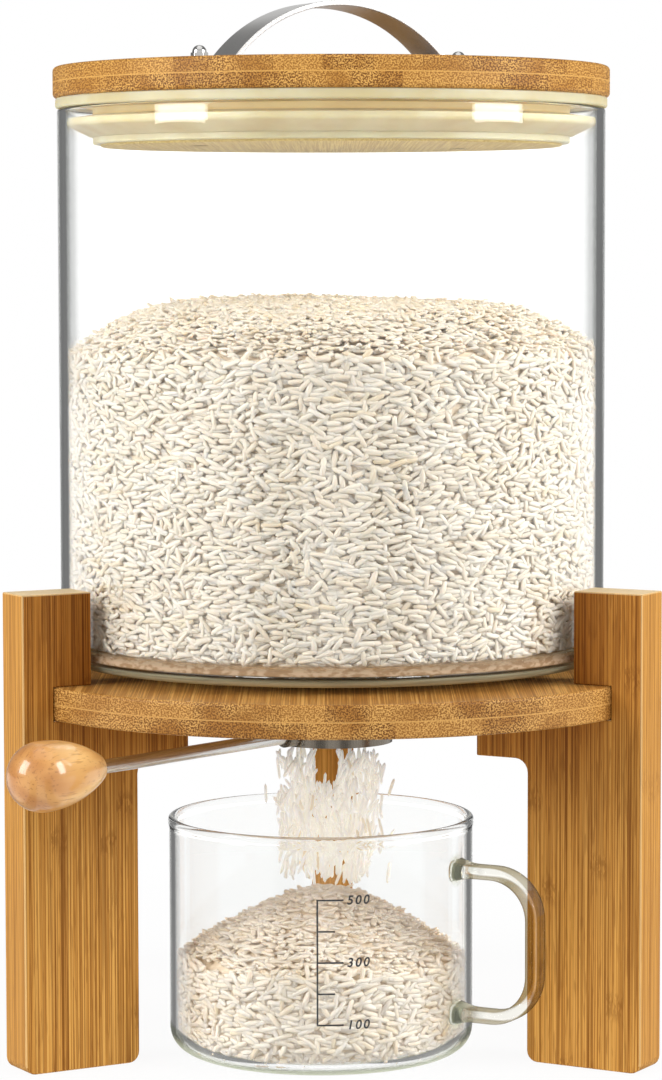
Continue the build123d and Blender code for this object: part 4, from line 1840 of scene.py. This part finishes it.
@dataclass(kw_only=True)
class RiceStream(Rice):
    """Rice on its way down from the valve's two openings."""

    top: float
    bottom: float
    top_radius: float = 19.5 * MM
    bottom_radius: float = 17.5 * MM
    bridge: float = 4.5 * MM
    bridge_drop: float = 12.0 * MM
    count: int = 740
    stray: float = 0.12
    lean: float = 0.30
    # Paler tones and a painted glow: painted light for the stream in the shade under the shelf.
    chalk: Color = (0.97, 0.95, 0.91)
    cream: Color = (0.95, 0.92, 0.85)
    glow: float = 0.20

    def build(self) -> None:
        """Builds the falling grains."""
        skin = RiceSkin(f"{self.name}_grain", chalk=self.chalk, cream=self.cream, glow=self.glow)
        self.grains("fall", list(self.falling()), skin.material())

    def falling(self) -> Iterator[Matrix]:
        """Places of the grains, near upright and parted at first by the valve's bridge.

        Yields:
            One matrix for each grain.
        """
        for _ in range(self.count):
            drop = self.rng.random()
            reach = self.top_radius + (self.bottom_radius - self.top_radius) * drop
            if self.rng.random() < self.stray:
                reach *= 1.0 + 0.35 * min(1.0, 3.0 * drop)
            angle = self.rng.uniform(0, math.tau)
            away = reach * self.rng.random() ** 0.62
            x, y = away * math.cos(angle), away * math.sin(angle)
            fallen = (self.top - self.bottom) * drop
            if fallen < self.bridge_drop and abs(x) < self.bridge:
                continue
            turn = Euler((self.rng.gauss(0, self.lean), self.rng.gauss(0, self.lean) + math.pi / 2, 0))
            spot = self.centre + Vector((x, y, self.top - fallen))
            yield Matrix.Translation(spot) @ turn.to_matrix().to_4x4() @ self.shape()


# The picture


@dataclass
class Studio:
    """A white floor, two tall side lights, a soft top light and the camera."""

    camera_place: Vector = Vector((0.0, -1.3611, 0.2929))
    pitch: float = 0.0798
    roll: float = -0.0020
    yaw: float = 0.0003
    lens: float = 123.43
    floor_size: float = 9.0
    room_light: float = 0.20
    front_light: float = 0.75
    backdrop_light: float = 0.70
    backdrop_through_glass: float = 1.5
    backdrop_edge: tuple[float, float] = (0.26, 0.17)
    aside_edge: tuple[float, float] = (0.50, 0.62)
    aside_light: float = 1.15
    floor_bounce: float = 0.95
    side_light: tuple[float, float] = (0.60, 0.84)
    top_light: tuple[float, float] = (1.2, 1.0)
    aim: Vector = Vector((0.0, 0.0, 0.2))
    sensor: float = 36.0

    def build(self) -> None:
        """Builds the floor, the world, the lights and the camera."""
        self.floor()
        self.world()
        self.softbox("key_left", azimuth=-63.0, away=1.25, height=0.762, size=self.side_light, power=13.0)
        self.softbox("key_right", azimuth=71.0, away=1.25, height=0.762, size=self.side_light, power=14.0)
        self.softbox("top", azimuth=0.0, away=0.15, height=1.35, size=self.top_light, power=3.2)
        self.camera()
        bpy.context.scene.view_settings.view_transform = "Standard"

    def floor(self) -> None:
        """Builds the pale floor."""
        bm = bmesh.new()
        bmesh.ops.create_grid(bm, x_segments=1, y_segments=1, size=self.floor_size / 2)
        mesh = as_mesh(bm, "floor")
        mesh.materials.append(self.floor_material())
        added("floor", mesh)

    def floor_material(self) -> bpy.types.Material:
        """White to the eye, dim where glass turns a ray past the backdrop, and clear from below.

        Returns:
            The material.
        """
        shader = Shader("floor_white")
        cloud = shader.grain(shader.place(), 0.002, 1.0)
        shader.set(base_color=shader.mix(cloud, (0.90, 0.90, 0.90), (0.93, 0.93, 0.93)), roughness=0.6)
        path = shader.node("ShaderNodeLightPath").outputs
        geometry = shader.node("ShaderNodeNewGeometry").outputs
        sideways = shader.math("ABSOLUTE", shader.split(geometry["Incoming"])[0])
        past = shader.times(shader.span(sideways, *reversed(self.backdrop_edge)),
                            shader.span(sideways, *self.aside_edge, 1.0, 0.0))
        thrown = shader.math("MAXIMUM", path["Is Transmission Ray"], path["Is Glossy Ray"])
        dim = shader.span(shader.times(thrown, past), 0.0, 1.0, 1.0, self.room_light)
        straight = shader.span(path["Is Diffuse Ray"], 0.0, 1.0, 1.0, self.floor_bounce)
        glow = shader.node("ShaderNodeEmission", (1.0, 1.0, 1.0), shader.times(straight, dim)).outputs[0]
        near = shader.span(shader.radius(), 120.0, 420.0, 0.93, 1.0)
        surface = shader.blend(near, shader.surface.outputs[0], glow)
        shader.show(shader.blend(geometry["Backfacing"], surface, shader.clear((1.0, 1.0, 1.0))))
        return shader.material

    def world(self) -> None:
        """Sets the room: a white backdrop, a bright front, dimmer walls, and plain white to the eye."""
        world = bpy.data.worlds.new("studio")
        bpy.context.scene.world = world
        world.use_nodes = True
        room = Nodes(world.node_tree, "ShaderNodeOutputWorld")
        path = room.node("ShaderNodeLightPath").outputs
        straight = room.math("LESS_THAN", path["Diffuse Depth"], 0.5)
        through = room.times(path["Is Transmission Ray"], straight)
        backdrop, front, aside = self.backdrop(room)
        gain = room.times(through, self.backdrop_through_glass - self.backdrop_light)
        gain = room.plus(gain, self.backdrop_light - self.room_light)
        light = room.plus(room.times(backdrop, gain), self.room_light)
        light = room.plus(light, room.times(front, self.front_light - self.room_light))
        light = room.math("MAXIMUM", light, room.times(room.times(aside, through), self.aside_light))
        strength = room.math("MAXIMUM", light, path["Is Camera Ray"])
        room.show(room.node("ShaderNodeBackground", (1.0, 1.0, 1.0), strength).outputs[0])

    def backdrop(self, room: Nodes) -> tuple[Socket, Socket, Socket]:
        """How much of the white backdrop, the bright front and the far sides a direction meets.

        Args:
            room: The world's node tree.

        Returns:
            Three shares from 0 to 1.
        """
        x, y, _ = room.split(room.node("ShaderNodeTexCoord").outputs["Generated"])
        sideways = room.math("ABSOLUTE", x)
        near = room.span(sideways, *self.backdrop_edge)
        front = room.span(y, -0.2, -0.85)
        return room.times(near, room.span(y, 0.0, 0.3)), front, room.span(sideways, *self.aside_edge)

    def softbox(self, name: str, azimuth: float, away: float, height: float, size: tuple[float, float],
                power: float) -> None:
        """Adds a rectangular light that looks at the jar.

        Args:
            name: The light's name.
            azimuth: Degrees to the right of the camera's direction.
            away: Its distance from the jar's axis.
            height: Its height.
            size: Its width and height.
            power: Its power in watts.
        """
        light = bpy.data.lights.new(name, "AREA")
        light.shape = "RECTANGLE"
        light.size, light.size_y = size
        light.energy = power
        holder = added(name, light)
        turn = math.radians(azimuth)
        holder.location = (away * math.sin(turn), -away * math.cos(turn), height)
        holder.rotation_euler = (self.aim - holder.location).to_track_quat("-Z", "Y").to_euler()

    def camera(self) -> None:
        """Adds the camera at the photograph's place."""
        lens = bpy.data.cameras.new("camera")
        lens.lens = self.lens
        lens.sensor_width = self.sensor
        holder = added("camera", lens)
        holder.location = self.camera_place
        aim = about_axis(self.yaw) @ Matrix.Rotation(math.pi / 2 - self.pitch, 4, "X")
        holder.rotation_euler = (aim @ about_axis(self.roll)).to_euler()
        bpy.context.scene.camera = holder


def rice(jar: Jar, cup: Cup) -> list[Rice]:
    """The rice in the jar, in the cup and between them.

    Args:
        jar: The jar.
        cup: The cup.

    Returns:
        The two heaps and the stream.
    """
    crown = 60.0 * MM
    length = 8.2 * MM
    return [
        RiceHeap(name="jar_rice", body=Body.JAR, centre=Vector((0, 0, 0)), seed=7, radius=jar.inner_radius(),
                 floor=jar.floor(), wall_level=253.0 * MM, crown_level=273.0 * MM, crown_power=4.5,
                 corner=jar.inner_round),
        # The cup's rice takes a faint painted glow.
        RiceHeap(name="cup_rice", body=Body.CUP, centre=cup.centre(), seed=11, radius=cup.radius - cup.wall,
                 floor=cup.base, wall_level=34.5 * MM, crown_level=crown, crown_power=1.45,
                 corner=cup.inner_round, glow=0.09),
        RiceStream(name="rice_stream", body=Body.LEVER, centre=Vector((-2.0 * MM, 0, 0)), seed=5,
                   length=length, width=2.0 * MM, top=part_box("valve_rotor")[0].z - 0.6 * length,
                   bottom=crown + 0.1 * length),
    ]


def main() -> None:
    """Builds every sub-assembly and the studio."""
    logging.basicConfig(level=logging.INFO, format="%(name)s: %(message)s")
    jar, cup = Jar(), Cup()
    for part in (Stand(), Outlet(), Lever(), jar, Lid(), cup, *rice(jar, cup), Studio()):
        part.build()
        log.info("built %s", type(part).__name__)


if __name__ == "__main__":
    main()
